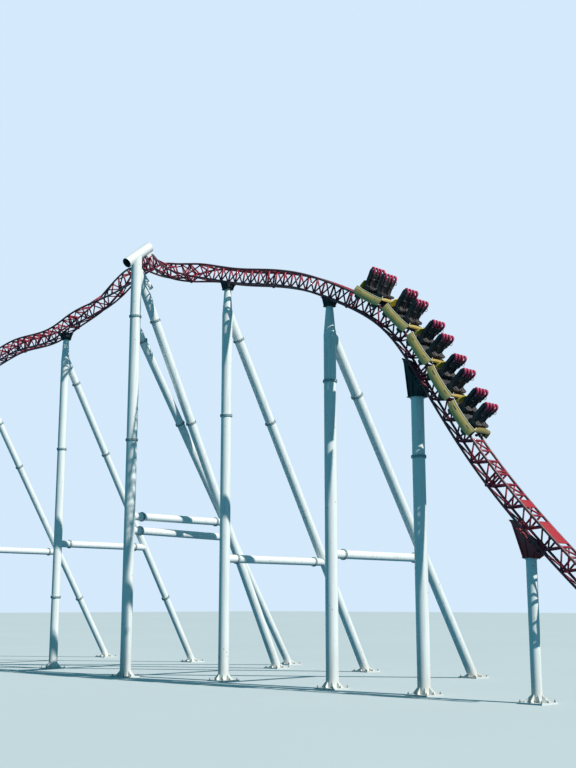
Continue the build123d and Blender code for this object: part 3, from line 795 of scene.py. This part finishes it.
# Supports: bolted rings, weld beads, base stiffeners and anchor bolts over the plain tubes
RING_PROFILE = ((-0.008, -0.004), (-0.006, 0.007), (0.006, 0.006), (0.009, -0.004))
SEAM_PROFILE = ((-0.012, -0.004), (-0.007, 0.006), (0.007, 0.006), (0.012, -0.004))


def ring_of_bolts(shape, centre, axis, radius, count, reach, size, look=BOLT_STEEL):
    """Hexagon bolts through a flange pair, with a nut on each side, in steel unless told otherwise."""
    axis = Vector(axis).normalized()
    side = axis.orthogonal().normalized()
    other = axis.cross(side)
    for k in range(count):
        angle = 2 * pi * (k + 0.5) / count
        spot = Vector(centre) + (side * cos(angle) + other * sin(angle)) * radius
        shape.turned(spot, axis, both_ends((reach + 0.006, size * 0.55), (reach, size)), look, 6)


def bolt_head(shape, spot, axis, height):
    """Hexagon head that stands on a plate."""
    shape.turned(spot, axis, ((-0.002, 0.012), (height, 0.012), (height + 0.002, 0.009)), BOLT_STEEL, 6)


def weld_bead(shape, point, axis, diameter, profile):
    """Bead around a tube, with a profile of pairs: place along the tube and height over its wall."""
    shape.turned(point, axis, [(along, diameter / 2 + high) for along, high in profile], SUPPORT_PAINT, 40)


def flange_pair(shape, point, axis, diameter):
    """Two dark bolted rings around a tube, a little proud of the plain ones."""
    axis = Vector(axis).normalized()
    inner = diameter / 2 - 0.01
    outer = diameter / 2 + RING_WIDTH
    half = RING_THICKNESS
    shape.turned(point, axis, both_ends(
        (half - 0.004, inner), (half + 0.001, outer - 0.008), (half - 0.006, outer + 0.002),
        (0.004, outer + 0.002), (0.001, outer - 0.006)), FLANGE_PAINT, 40)
    ring_of_bolts(shape, point, axis, diameter / 2 + RING_WIDTH * 0.52, 16, half + 0.02, 0.014)
    for end in (-1, 1):
        weld_bead(shape, Vector(point) + axis * end * (half + 0.004), axis, diameter, RING_PROFILE)


def base_details(shape, x, y, diameter, stiffener_rise):
    """Stiffener plates, washers, nuts and anchor bolts at the foot of a tube."""
    half = BASE_SIZE / 2
    centre = Vector((x, y, BASE_THICKNESS))
    for k in range(8):
        angle = pi / 4 * k
        away = Vector((cos(angle), sin(angle), 0))
        across = Vector((-sin(angle), cos(angle), 0)) * 0.007
        inner = centre + away * (diameter / 2 - 0.03)
        outer = centre + away * (half * 0.86)
        outline = ((inner, -0.004), (outer, -0.004), (outer, 0.03), (inner, stiffener_rise))
        shape.loft([[corner + shift + UPRIGHT * rise for corner, rise in outline]
                    for shift in (-across, across)], SUPPORT_PAINT)
    for sx in (-1, 0, 1):
        for sy in (-1, 0, 1):
            if sx or sy:
                spot = centre + Vector((sx * half * 0.84, sy * half * 0.84, 0))
                for sides, profile in (
                        (16, ((-0.002, 0.036), (0.008, 0.036), (0.0081, 0.030))),
                        (6, ((0.006, 0.026), (0.032, 0.026), (0.034, 0.022))),
                        (12, ((0.030, 0.014), (0.074, 0.014), (0.077, 0.011)))):
                    shape.turned(spot, UPRIGHT, profile, BOLT_STEEL, sides)


def support(name, rings, feet, welds=()):
    """One piece with all the bolted rings, feet and weld beads of a support."""
    shape = Shape(FLANGE_PAINT, BOLT_STEEL, SUPPORT_PAINT)
    for point, axis, diameter in rings:
        flange_pair(shape, point, axis, diameter)
    for x, y, diameter, stiffener_rise in feet:
        base_details(shape, x, y, diameter, stiffener_rise)
    for point, axis, diameter in welds:
        weld_bead(shape, point, axis, diameter, SEAM_PROFILE)
    mount(shape.piece(name), "support_paint")


def point_at(start, end, height):
    """The point of a leg's line at a height above the ground."""
    return start + (end - start) * ((start.z - height) / (start.z - end.z))


def column_top(name):
    """Middle of the top of a support's column, worked out from its box in the frame."""
    low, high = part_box(name + "_column")
    return Vector(((low[0] + high[0]) / 2, TRACK_Y, high[2]))


def rail_plate(name, first_x, last_x, ribs):
    """Folded steel plate between the rails, from one place along X to another, with ribs beneath."""
    shape = Shape(PLATE_PAINT, LATTICE_PAINT, BOLT_STEEL)
    first = stations.distance_at(first_x)
    length = stations.distance_at(last_x) - first
    wide = RAIL_X - RAIL_DIAMETER / 2 - 0.004
    half_outline = ((wide - 0.02, PLATE_RISE), (wide, 0.035), (wide, -0.02), (wide - 0.012, -0.02),
                    (wide - 0.012, 0.03))
    outline = [(-x, y) for x, y in reversed(half_outline)] + list(half_outline)
    rings = []
    for k in range(7):
        here = stations.matrix(first + length * k / 6)
        rings.append([here @ Vector((x, RAIL_Z + y, 0)) for x, y in outline])
    shape.loft(rings)
    inner = wide - 0.013
    for k in range(ribs):
        here = stations.matrix(first + length * (k + 0.5) / ribs)
        corners = ((-inner, -0.05), (inner, -0.05), (inner, 0.031), (-inner, 0.031))
        shape.loft([[here @ Vector((x, RAIL_Z + y, z)) for x, y in corners] for z in (-0.006, 0.006)],
                   LATTICE_PAINT)
        for side in (-1, 1):
            for across in (0.08, 0.2):
                spot = here @ Vector((side * across, RAIL_Z + PLATE_RISE, 0))
                bolt_head(shape, spot, here.to_3x3() @ UP, 0.008)
    mount(shape.piece(name), "track_paint")


rail_plate("crest_rail_plate", first_x=10.6, last_x=11.8, ribs=5)
rail_plate("small_rail_plate", first_x=18.72, last_x=18.95, ribs=1)
rail_plate("large_rail_plate", first_x=19.38, last_x=20.05, ribs=4)


def bent_details(name, column_size, leg_size, joint_height, collars, tie_height):
    """Rings, feet and head weld of a bent, under the top of its column."""
    top = column_top(name)
    x = top.x
    shoulder = top.z - HEAD_LENGTH
    elbow = Vector((x, TRACK_Y, shoulder + LEG_RISE))
    foot = Vector((x, TRACK_Y + LEG_SPREAD, 0))
    run = (foot - elbow).normalized()
    tie_end = point_at(elbow, foot, tie_height)
    near = Vector((x, TRACK_Y + STUB_LENGTH, tie_height))
    rings = [(point_at(elbow, foot, joint_height), run, leg_size), (near, OUTWARD, TIE_DIAMETER),
             (tie_end - OUTWARD * STUB_LENGTH, OUTWARD, TIE_DIAMETER)]
    for height in collars:
        rings.append((Vector((x, TRACK_Y, height)), UPRIGHT, column_size))
        if height < joint_height:
            rings.append((point_at(elbow, foot, height), run, leg_size))
    feet = [(x, TRACK_Y, column_size, COLUMN_STIFFENER), (x, foot.y, leg_size, LEG_STIFFENER)]
    welds = [(Vector((x, TRACK_Y, shoulder)), UPRIGHT, column_size)]
    support(name + "_bolts", rings, feet, welds)


NEAR_SIZES = {"column_size": 0.40, "leg_size": 0.34, "collars": (10.45, 3.32), "tie_height": 5.85}
MAIN_SIZES = {"leg_size": MAIN_LEG, "tie_height": 4.8}
bent_details("west_bent", joint_height=12.7, **NEAR_SIZES)
bent_details("near_bent", joint_height=13.82, **NEAR_SIZES)
bent_details("crest_bent", joint_height=14.0, column_size=0.43, collars=(10.66,), **MAIN_SIZES)
bent_details("drop_bent", joint_height=10.92, column_size=0.47, collars=(11.28,), **MAIN_SIZES)


def single_details(name, diameter, collars):
    """Rings, foot and top weld of a column that stands by itself."""
    top = column_top(name)
    rings = [(Vector((top.x, TRACK_Y, height)), UPRIGHT, diameter) for height in collars]
    top_weld = (top - UPRIGHT * (RING_THICKNESS + 0.01), UPRIGHT, diameter)
    support(name + "_bolts", rings, [(top.x, TRACK_Y, diameter, COLUMN_STIFFENER)], [top_weld])


single_details("steep_bent", SINGLE_COLUMNS["steep_bent"], collars=(8.01,))
single_details("low_bent", SINGLE_COLUMNS["low_bent"], collars=())


def half_bay_seat(number, sink):
    """Matrix under a half bay's chords, lowered by a sink: X across, Y up and Z along the track."""
    first = stations.matrix(number * BAY / 2).translation
    second = stations.matrix((number + 1) * BAY / 2).translation
    along = (second - first).normalized()
    up = along.cross(OUTWARD)
    turned = Matrix((OUTWARD, up, along)).transposed().to_4x4()
    under = (first + second) / 2 - up * (RAIL_Z + CHORD_DIAMETER / 2 + SEAT_GAP + sink)
    return Matrix.Translation(under) @ turned


def saddle_details(name, length, drop, foot_size, paint, ahead, pads):
    """Ribs, rim, bolted foot and chord straps of a saddle, some half bays ahead of its column."""
    foot = column_top(name)
    shape = Shape(paint, BOLT_STEEL)
    bay_number = int(stations.distance_at(foot.x) / (BAY / 2)) + ahead
    seat = half_bay_seat(bay_number, drop)
    wide = CHORD_X + CHORD_DIAMETER / 2
    half = foot_size / 2
    corners = ((-1, -1), (1, -1), (1, 1), (-1, 1))
    top = [seat @ Vector((y * wide, -0.006, z * length / 2)) for y, z in corners]
    bottom = [foot + Vector((z * half, y * half, 0.004)) for y, z in corners]
    middle = (sum(top, Vector()) + sum(bottom, Vector())) / 8
    for k in range(4):
        after = (k + 1) % 4
        side = (bottom[after] - bottom[k]).normalized()
        face = (top[k] + top[after] + bottom[k] + bottom[after]) / 4 - middle
        away = side.cross(top[k] - bottom[k]).normalized()
        away = away if away.dot(face) > 0 else -away
        for share in (0.1, 0.5, 0.9):
            heel = bottom[k].lerp(bottom[after], share)
            head = top[k].lerp(top[after], share)
            rib = (heel - away * 0.01, heel + away * 0.05, head + away * 0.022, head - away * 0.01)
            shape.loft([[point + side * shift for point in rib] for shift in (-0.007, 0.007)])
    rim = []
    for level, inset in ((-0.036, 0.004), (-0.032, 0), (-0.008, 0), (-0.004, 0.004)):
        rim.append([seat @ Vector((y * (wide + 0.022 - inset), level, z * (length / 2 + 0.022 - inset)))
                    for y, z in corners])
    shape.loft(rim)
    edge = half + 0.04
    shape.box(foot + Vector((-edge, -edge, 0.001)), foot + Vector((edge, edge, 0.028)))
    for x in (-1, -0.33, 0.33, 1):
        for y in (-1, -0.33, 0.33, 1):
            if abs(x) == 1 or abs(y) == 1:
                spot = foot + Vector((x * (half + 0.02), y * (half + 0.02), 0.027))
                bolt_head(shape, spot, UPRIGHT, 0.012)
    for step, reach in pads:
        pad = half_bay_seat(bay_number + step, 0)
        for side in (-CHORD_X, CHORD_X):
            strap = [(side - STRAP_RADIUS, -0.05)]
            for k in range(9):
                strap.append((side - STRAP_RADIUS * cos(pi * k / 8),
                              CHORD_DIAMETER / 2 + STRAP_RADIUS * sin(pi * k / 8)))
            strap.append((side + STRAP_RADIUS, -0.05))
            for along in (-reach, reach):
                shape.rod([pad @ Vector((y, z, along)) for y, z in strap], 0.009, BOLT_STEEL, 8)
    mount(shape.piece(name + "_ribs"), "saddle_paint")


for name in ("west_bent", "near_bent", "crest_bent", "drop_bent"):
    saddle_details(name, SADDLE_LENGTH, 0, SADDLE_TOP, SADDLE_PAINT, ahead=0, pads=((0, 0.13),))
for name, paint in (("steep_bent", SADDLE_PAINT), ("low_bent", RED_SADDLE_PAINT)):
    saddle_details(name, 1.5 * BAY, STEEP_PAD_HEIGHT, SINGLE_COLUMNS[name], paint,
                   ahead=1, pads=((-1, 0.1), (1, 0.1)))


def pylon_details():
    """Rings and feet of the pylon's column and of its two legs and ties."""
    column, rear_leg = PYLON["column"], PYLON["rear leg"]
    elbow = Vector((0, 0, PYLON["elbow"]))
    foot = Vector((0, PYLON["leg spread"], 0))
    run = (foot - elbow).normalized()
    rear_elbow = Vector((0, 0, PYLON["rear elbow"]))
    rear_foot = Vector((PYLON["rear skew"], PYLON["rear spread"], 0))
    rear_run = (rear_foot - rear_elbow).normalized()
    joint = point_at(elbow, foot, PYLON["joint"])
    rear_joint = rear_elbow + rear_run * PYLON["rear stub"]
    upper = Vector((0, 0, PYLON["upper tie"]))
    lower = Vector((0, 0, PYLON["lower tie"]))
    upper_end = point_at(elbow, foot, PYLON["upper tie"])
    lower_end = point_at(rear_elbow, rear_foot, PYLON["lower tie"])
    rear_way = (lower_end - lower).normalized()
    rings = [
        (Vector((0, 0, PYLON["joint"])), UPRIGHT, column), (joint, run, MAIN_LEG),
        (Vector((0, 0, PYLON["collar"])), UPRIGHT, column),
        (point_at(joint, foot, PYLON["leg collar"]), run, MAIN_LEG), (rear_joint, rear_run, rear_leg),
        (point_at(rear_joint, rear_foot, PYLON["leg collar"]), rear_run, rear_leg),
    ]
    for near, far, way in ((upper, upper_end, OUTWARD), (lower, lower_end, rear_way)):
        stub = way * STUB_LENGTH
        rings += [(near + stub, way, TIE_DIAMETER), (far - stub, way, TIE_DIAMETER)]
    feet = [(0, 0, column, COLUMN_STIFFENER), (foot.x, foot.y, MAIN_LEG, LEG_STIFFENER),
            (rear_foot.x, rear_foot.y, rear_leg, LEG_STIFFENER)]
    support("pylon_bolts", rings, feet)


def bore_shade_lining():
    """Lining of the open cross tube, closed at its upper end, in a near-black colour that paints the shade
    inside the tube.
    """
    hanging = stations.matrix(BAYS_BEFORE_PYLON * BAY)
    across = hanging.to_3x3() @ ACROSS
    level = -(RAIL_Z + CHORD_DIAMETER / 2 + SEAT_GAP + PYLON["hanger"] + PYLON["top tube"] / 2)
    crossing = -(hanging @ Vector((0, level, 0))).y / across.y
    middle = Vector((0, 0, (hanging @ Vector((crossing, level, 0))).z))
    rise = Vector((0, across.y, across.z)).normalized()
    rise = rise if rise.z > 0 else -rise
    inner = PYLON["top tube"] / 2 - PYLON["top wall"] - 0.0006
    mouth = -PYLON["top low"] + 0.006
    end = PYLON["top high"] - PYLON["top wall"] - 0.001
    shape = Shape(BORE_SHADE_PAINT)
    shape.turned(middle, rise, ((end, 0.004), (end, inner), (mouth, inner), (mouth, inner - 0.004),
                                (end - 0.004, inner - 0.004), (end - 0.004, 0.004)), BORE_SHADE_PAINT, 40)
    mount(shape.piece("cross_tube_shade_lining"), "support_paint")


pylon_details()
bore_shade_lining()

for name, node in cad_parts.items():
    for slot in node.material_slots:
        if "saddle" in name:
            slot.material = RED_SADDLE_PAINT if "low" in name else SADDLE_PAINT
        elif "bent" in name or "pylon" in name:
            slot.material = SUPPORT_PAINT


# Train
DECK = RAIL_TOP + CAR["floor height"] + 0.024
SEAT_FLOOR = DECK + 0.0003
STOP_WHEEL_GAP = 0.004


def wheel(shape, centre, axis, diameter, width):
    """Tyred wheel with a rim, a hub and a ring of nuts in the tyre's colour."""
    radius = diameter / 2
    half = width / 2
    tyre = both_ends((half, radius * 0.80), (half, radius * 0.95), (half * 0.8, radius - 0.001))
    rim = both_ends((half * 0.75, radius * 0.82), (half * 0.6, radius * 0.7))
    hub = both_ends((half + 0.006, radius * 0.2), (half + 0.002, radius * 0.3))
    for profile, look, sides in ((tyre, TYRE, 32), (rim, BOLT_STEEL, 24), (hub, BOLT_STEEL, 16)):
        shape.turned(centre, axis, profile, look, sides)
    ring_of_bolts(shape, centre, axis, radius * 0.45, 6, half * 0.75, radius * 0.07, TYRE)


def chassis(name, distance):
    """Spine, cross beams, wheel carriers and wheels of a car."""
    shape = Shape(CHASSIS_STEEL, TYRE, BOLT_STEEL)
    middle = stations.matrix(distance)
    back = middle.inverted()
    half = CAR["length"] / 2
    low = RAIL_TOP + CAR["beam height"]
    high = RAIL_TOP + CAR["floor height"] - 0.001
    for side in (-1, 1):
        shape.box((side * 0.085 - 0.025, low, -half + 0.06), (side * 0.085 + 0.025, high, half - 0.06))
    for k in range(7):
        along = (k / 6 - 0.5) * (2 * half - 0.2)
        shape.box((-0.11, low + 0.012, along - 0.018), (0.11, high - 0.006, along + 0.018))
    pin = half + CAR["coupler"]
    shape.rod([(0, low + 0.03, half - 0.12), (0, low + 0.03, pin)], 0.026)
    shape.turned((0, low + 0.03, pin - 0.02), UP, ((-0.035, 0.034), (0.035, 0.034)), BOLT_STEEL, 16)
    carrier = CAR["carrier"]
    road = RAIL_TOP + CAR["wheel"] / 2
    side_x = RAIL_X + RAIL_DIAMETER / 2 + CAR["side wheel"] / 2
    stop = RAIL_Z - RAIL_DIAMETER / 2 - STOP_WHEEL_GAP - CAR["stop wheel"] / 2
    outline = ((-0.13, road + 0.03), (-0.09, road + 0.06), (0.09, road + 0.06), (0.13, road + 0.03),
               (0.12, stop), (0.05, stop - 0.03), (-0.05, stop - 0.03), (-0.12, stop))
    for end in (-0.5, 0.5):
        axle = back @ stations.matrix(distance + end * CAR["axle spacing"])
        across = axle.to_3x3() @ ACROSS
        upward = axle.to_3x3() @ UP

        def at(x, y, z=0):
            return axle @ Vector((x, y, z))

        shape.rod([at(-carrier, road), at(carrier, road)], 0.03, CHASSIS_STEEL, 16)
        for side in (-1, 1):
            wheel(shape, at(side * RAIL_X, road), across, CAR["wheel"], 0.054)
            wheel(shape, at(side * side_x, RAIL_Z), upward, CAR["side wheel"], 0.044)
            wheel(shape, at(side * RAIL_X, stop), across, CAR["stop wheel"], 0.054)
            shape.loft([[at(side * x, y, z) for z, y in outline] for x in (carrier - 0.024, carrier)])
            pin_ends = at(side * (RAIL_X - 0.02), stop), at(side * (carrier + 0.008), stop)
            shape.rod(pin_ends, 0.013, BOLT_STEEL)
            ring_of_bolts(shape, at(side * carrier, road - 0.05), across, 0.055, 6, 0.008, 0.009, TYRE)
    mount(shape.piece(name, middle), "chassis_steel", name.replace("frame", "chassis"))


def body(name, distance, leading):
    """Skirted body: bent side panels with a cream top edge, a ribbed deck and a rear fairing."""
    shape = Shape(CAR_PAINT, TRIM_PAINT, FAIRING_PAINT, CHASSIS_STEEL)
    half = CAR["length"] / 2
    wide = CAR["half width"]
    low = RAIL_TOP - CAR["skirt depth"]
    panel = 0.018
    x = wide - 0.012
    lean = x - 0.085
    for side in (-1, 1):
        rings = []
        edge = []
        for share in (0.0, 0.04, 0.1, 0.2, 0.35, 0.5, 0.65, 0.8, 0.9, 0.96, 1.0):
            z = -half + share * 2 * half
            flare = 0.055 * (max(share - 0.55, 0) / 0.45) ** 2 + 0.04 * (max(0.3 - share, 0) / 0.3) ** 2
            bow = 0.010 * sin(pi * share)
            bottom = low + 0.075 * abs(share * 2 - 1) ** 3
            top = DECK - 0.008 + flare
            bend = bottom + (top - bottom) * 0.55
            outline = (
                (x - 0.010, bottom), (x - 0.032 - panel, bend), (lean - panel, top - 0.004),
                (lean - panel * 0.4, top + 0.004), (lean, top), (x - 0.050 + bow, bend + 0.055),
                (x - 0.030 + bow, bend), (x - 0.016 + bow, bend - 0.06), (x, bottom))
            rings.append([(side * across, up, z) for across, up in outline])
            edge.append((side * (lean - panel / 2), DECK + flare, z))
        shape.loft(rings, CAR_PAINT)
        shape.rod(edge, 0.014, TRIM_PAINT, 8)
        hoop = ((0.10, 0.045, 0.012), (0.12, 0.09, 0.03), (0.16, 0.12, 0.07))
        shape.rod([(side * (wide - inset), DECK + up, half - back) for inset, up, back in hoop],
                  0.012, TRIM_PAINT, 8)
        for along in (-0.62, -0.3, 0.0, 0.3, 0.6):
            spot = (side * (wide - 0.014), low + 0.10, along)
            shape.turned(spot, ACROSS * side, ((-0.01, 0.012), (0.006, 0.007)), CHASSIS_STEEL, 8)
    floor_x = wide - 0.095
    shape.box((-floor_x, DECK - 0.024, -half + 0.004), (floor_x, DECK - 0.006, half - 0.004),
              CHASSIS_STEEL, 0.003)
    rib_x = wide - 0.11
    for k in range(13):
        along = (k / 12 - 0.5) * (2 * half - 0.12)
        shape.box((-rib_x, DECK - 0.008, along - 0.016), (rib_x, DECK - 0.001, along + 0.016),
                  CHASSIS_STEEL, 0.002)
    fairing = []
    for across in (-1.0, -0.96, -0.8, -0.4, 0.0, 0.4, 0.8, 0.96, 1.0):
        sink = 0.16 * across ** 6
        top = DECK + CAR["fairing height"] - sink
        outline = ((DECK - 0.006, 0.002), (DECK + (top - DECK) * 0.5, 0.002 + sink * 0.1),
                   (top - 0.04, 0.012 + sink * 0.2), (top, 0.034 + sink * 0.2),
                   (top - 0.012, 0.050 + sink * 0.2), (DECK - 0.006, 0.090))
        fairing.append([(across * CAR["fairing width"], up, -half + along) for up, along in outline])
    shape.loft(fairing, FAIRING_PAINT)
    front = []
    for across in (-1.0, -0.9, -0.5, 0.0, 0.5, 0.9, 1.0):
        rise = (0.16 if leading else 0.09) * (1 - 0.6 * across ** 4)
        reach = 0.02 * (1 - across ** 2)
        outline = ((-0.008, 0.10), (-0.008, 0.004), (rise * 0.5, 0.012 + reach * 0.2),
                   (rise, 0.05 + reach), (rise - 0.01, 0.07 + reach))
        front.append([(across * rib_x, DECK + up, half - back) for up, back in outline])
    shape.loft(front, CAR_PAINT)
    mount(shape.piece(name, stations.matrix(distance)), "car_paint", name.replace("shell", "body"))


def seat(shape, x, z):
    """Bucket seat: a dished cushion and a winged back, on a pedestal."""
    floor = SEAT_FLOOR
    spine = ((0.20, 0.155, 0.03), (0.17, 0.15, 0.05), (0.05, 0.125, 0.055), (-0.06, 0.135, 0.06),
             (-0.115, 0.22, 0.075), (-0.145, 0.38, 0.085), (-0.175, 0.56, 0.08), (-0.195, 0.70, 0.09),
             (-0.215, 0.785, 0.05))
    half = CAR["seat width"] / 2
    thick = 0.045
    rings = []
    for k, (along, up, wing) in enumerate(spine):
        before = Vector(spine[max(k - 1, 0)][:2])
        after = Vector(spine[min(k + 1, len(spine) - 1)][:2])
        way = (after - before).normalized()
        front = Vector((way.y, -way.x))
        wide = half * (1.0 if k < 6 else 0.86 if k < 8 else 0.7)
        dish = ((-1.0, wing), (-0.86, wing + 0.012), (-0.68, wing * 0.35), (-0.35, 0.012), (0.35, 0.012),
                (0.68, wing * 0.35), (0.86, wing + 0.012), (1.0, wing), (0.92, -thick * 0.6),
                (0.4, -thick), (-0.4, -thick), (-0.92, -thick * 0.6))
        spots = [(across, Vector((along, up)) + front * reach) for across, reach in dish]
        rings.append([(x + across * wide, floor + spot.y, z + spot.x) for across, spot in spots])
    shape.loft(rings)
    cushion_x = half * 0.8
    shape.box((x - cushion_x, floor, z - 0.19), (x + cushion_x, floor + 0.10, z + 0.15), SEAT_SHELL, 0.02)
    shape.box((x - 0.05, floor + 0.3, z - 0.24), (x + 0.05, floor + 0.72, z - 0.20), CHASSIS_STEEL)


def seat_places():
    """Middle of each of a car's four seats, across and along."""
    return [(side * (CAR["seat width"] + 0.03), row * CAR["row pitch"])
            for row in (-0.5, 0.5) for side in (-0.5, 0.5)]


def seats(name, distance):
    """The four seats of a car."""
    shape = Shape(SEAT_SHELL, CHASSIS_STEEL)
    for x, z in seat_places():
        seat(shape, x, z)
    mount(shape.piece(name, stations.matrix(distance), 50), "seat_shell", name.replace("buckets", "seats"))


def restraint(shape, x, z):
    """Padded horse-collar over a seat, with a vest, a chest pad and two grab handles."""

    def at(across, up, along):
        return x + across, SEAT_FLOOR + CAR["seat back"] + up, z + along

    for arm in (-1, 1):
        path = smooth_path([
            at(arm * 0.075, -0.02, -0.20), at(arm * 0.085, 0.055, -0.165), at(arm * 0.09, 0.065, -0.085),
            at(arm * 0.09, -0.02, -0.02), at(arm * 0.085, -0.18, 0), at(arm * 0.07, -0.34, -0.02)], 4)
        radii = [0.030 + 0.021 * sin(pi * min(k / 15, 1)) for k in range(len(path))]
        shape.rod(path[:16], radii[:16], PAD, 12)
        shape.rod(path[15:], radii[15:], SEAT_SHELL, 12)
        shape.rod(smooth_path([
            at(arm * 0.10, -0.08, 0), at(arm * 0.13, -0.10, 0.045), at(arm * 0.13, -0.18, 0.055),
            at(arm * 0.10, -0.20, 0.01)], 4), 0.009, CHASSIS_STEEL, 8)
    shape.rod(smooth_path([
        at(-0.095, -0.31, -0.015), at(-0.04, -0.35, 0.005), at(0.04, -0.35, 0.005),
        at(0.095, -0.31, -0.015)], 4), 0.036, SEAT_SHELL, 12)
    vest = []
    for up, deep in ((-0.30, 0.002), (-0.18, -0.004), (-0.06, -0.018), (-0.03, -0.03)):
        vest.append([at(-0.07, up, deep - 0.03), at(0.07, up, deep - 0.03), at(0.06, up, deep),
                     at(-0.06, up, deep)])
    shape.loft(vest, SEAT_SHELL)


def restraints(name, distance):
    """The four padded restraints of a car."""
    shape = Shape(PAD, CHASSIS_STEEL, SEAT_SHELL)
    for x, z in seat_places():
        restraint(shape, x, z)
    piece = shape.piece(name, stations.matrix(distance), 60)
    mount(piece, "restraint_pad", name.replace("collars", "restraints"))


front_distance = stations.distance_at(CAR["front x"])
for number in range(CAR["count"]):
    distance = front_distance - number * CAR["pitch"]
    prefix = "car_%d_" % (number + 1)
    chassis(prefix + "frame", distance)
    body(prefix + "shell", distance, number == 0)
    seats(prefix + "buckets", distance)
    restraints(prefix + "collars", distance)

# Floor, light and camera
FLOOR_REACH = 300
SKY_FILL = (0.12, 0.46, 0.62, 1)
SKY_SEEN = (0.66, 0.82, 0.97, 1)
SUN_DIRECTION = (0.726, 0.115, 0.66)
CAMERA_PLACE = (38.37, -28.75, 3.0)
CAMERA_HEADING = (-0.7071, 0.7071)
CAMERA_PITCH = radians(11.3)

floor = link("floor", bpy.data.meshes.new("floor"))
corners = [(x * FLOOR_REACH, y * FLOOR_REACH, 0) for x, y in ((-1, -1), (1, -1), (1, 1), (-1, 1))]
floor.data.from_pydata(corners, [], [(0, 1, 2, 3)])
floor.data.materials.append(FLOOR_PAINT)

world = bpy.data.worlds.new("sky")
scene.world = world
world.use_nodes = True
nodes, links = world.node_tree.nodes, world.node_tree.links
mix = nodes.new("ShaderNodeMixShader")
links.new(nodes.new("ShaderNodeLightPath").outputs["Is Camera Ray"], mix.inputs[0])
sky = ((nodes["Background"], SKY_FILL, 0.45), (nodes.new("ShaderNodeBackground"), SKY_SEEN, 1.0))
for socket, (shade, colour, strength) in zip(mix.inputs[1:], sky):
    shade.inputs["Color"].default_value = colour
    shade.inputs["Strength"].default_value = strength
    links.new(shade.outputs[0], socket)
links.new(mix.outputs[0], nodes["World Output"].inputs[0])

sun = link("key_light", bpy.data.lights.new("key_light", "SUN"))
sun.data.energy = 4.4
sun.data.color = (1.0, 0.96, 0.9)
sun.data.angle = radians(0.8)
sun.rotation_euler = Vector(SUN_DIRECTION).to_track_quat("Z", "Y").to_euler()

camera = link("camera", bpy.data.cameras.new("camera"))
camera.data.lens = 51.56
camera.data.sensor_width = 36
camera.data.clip_end = 1000
look = Vector((*CAMERA_HEADING, 0)) * cos(CAMERA_PITCH) + UPRIGHT * sin(CAMERA_PITCH)
camera.location = CAMERA_PLACE
camera.rotation_euler = look.to_track_quat("-Z", "Y").to_euler()
scene.camera = camera
scene.view_settings.view_transform = "Standard"
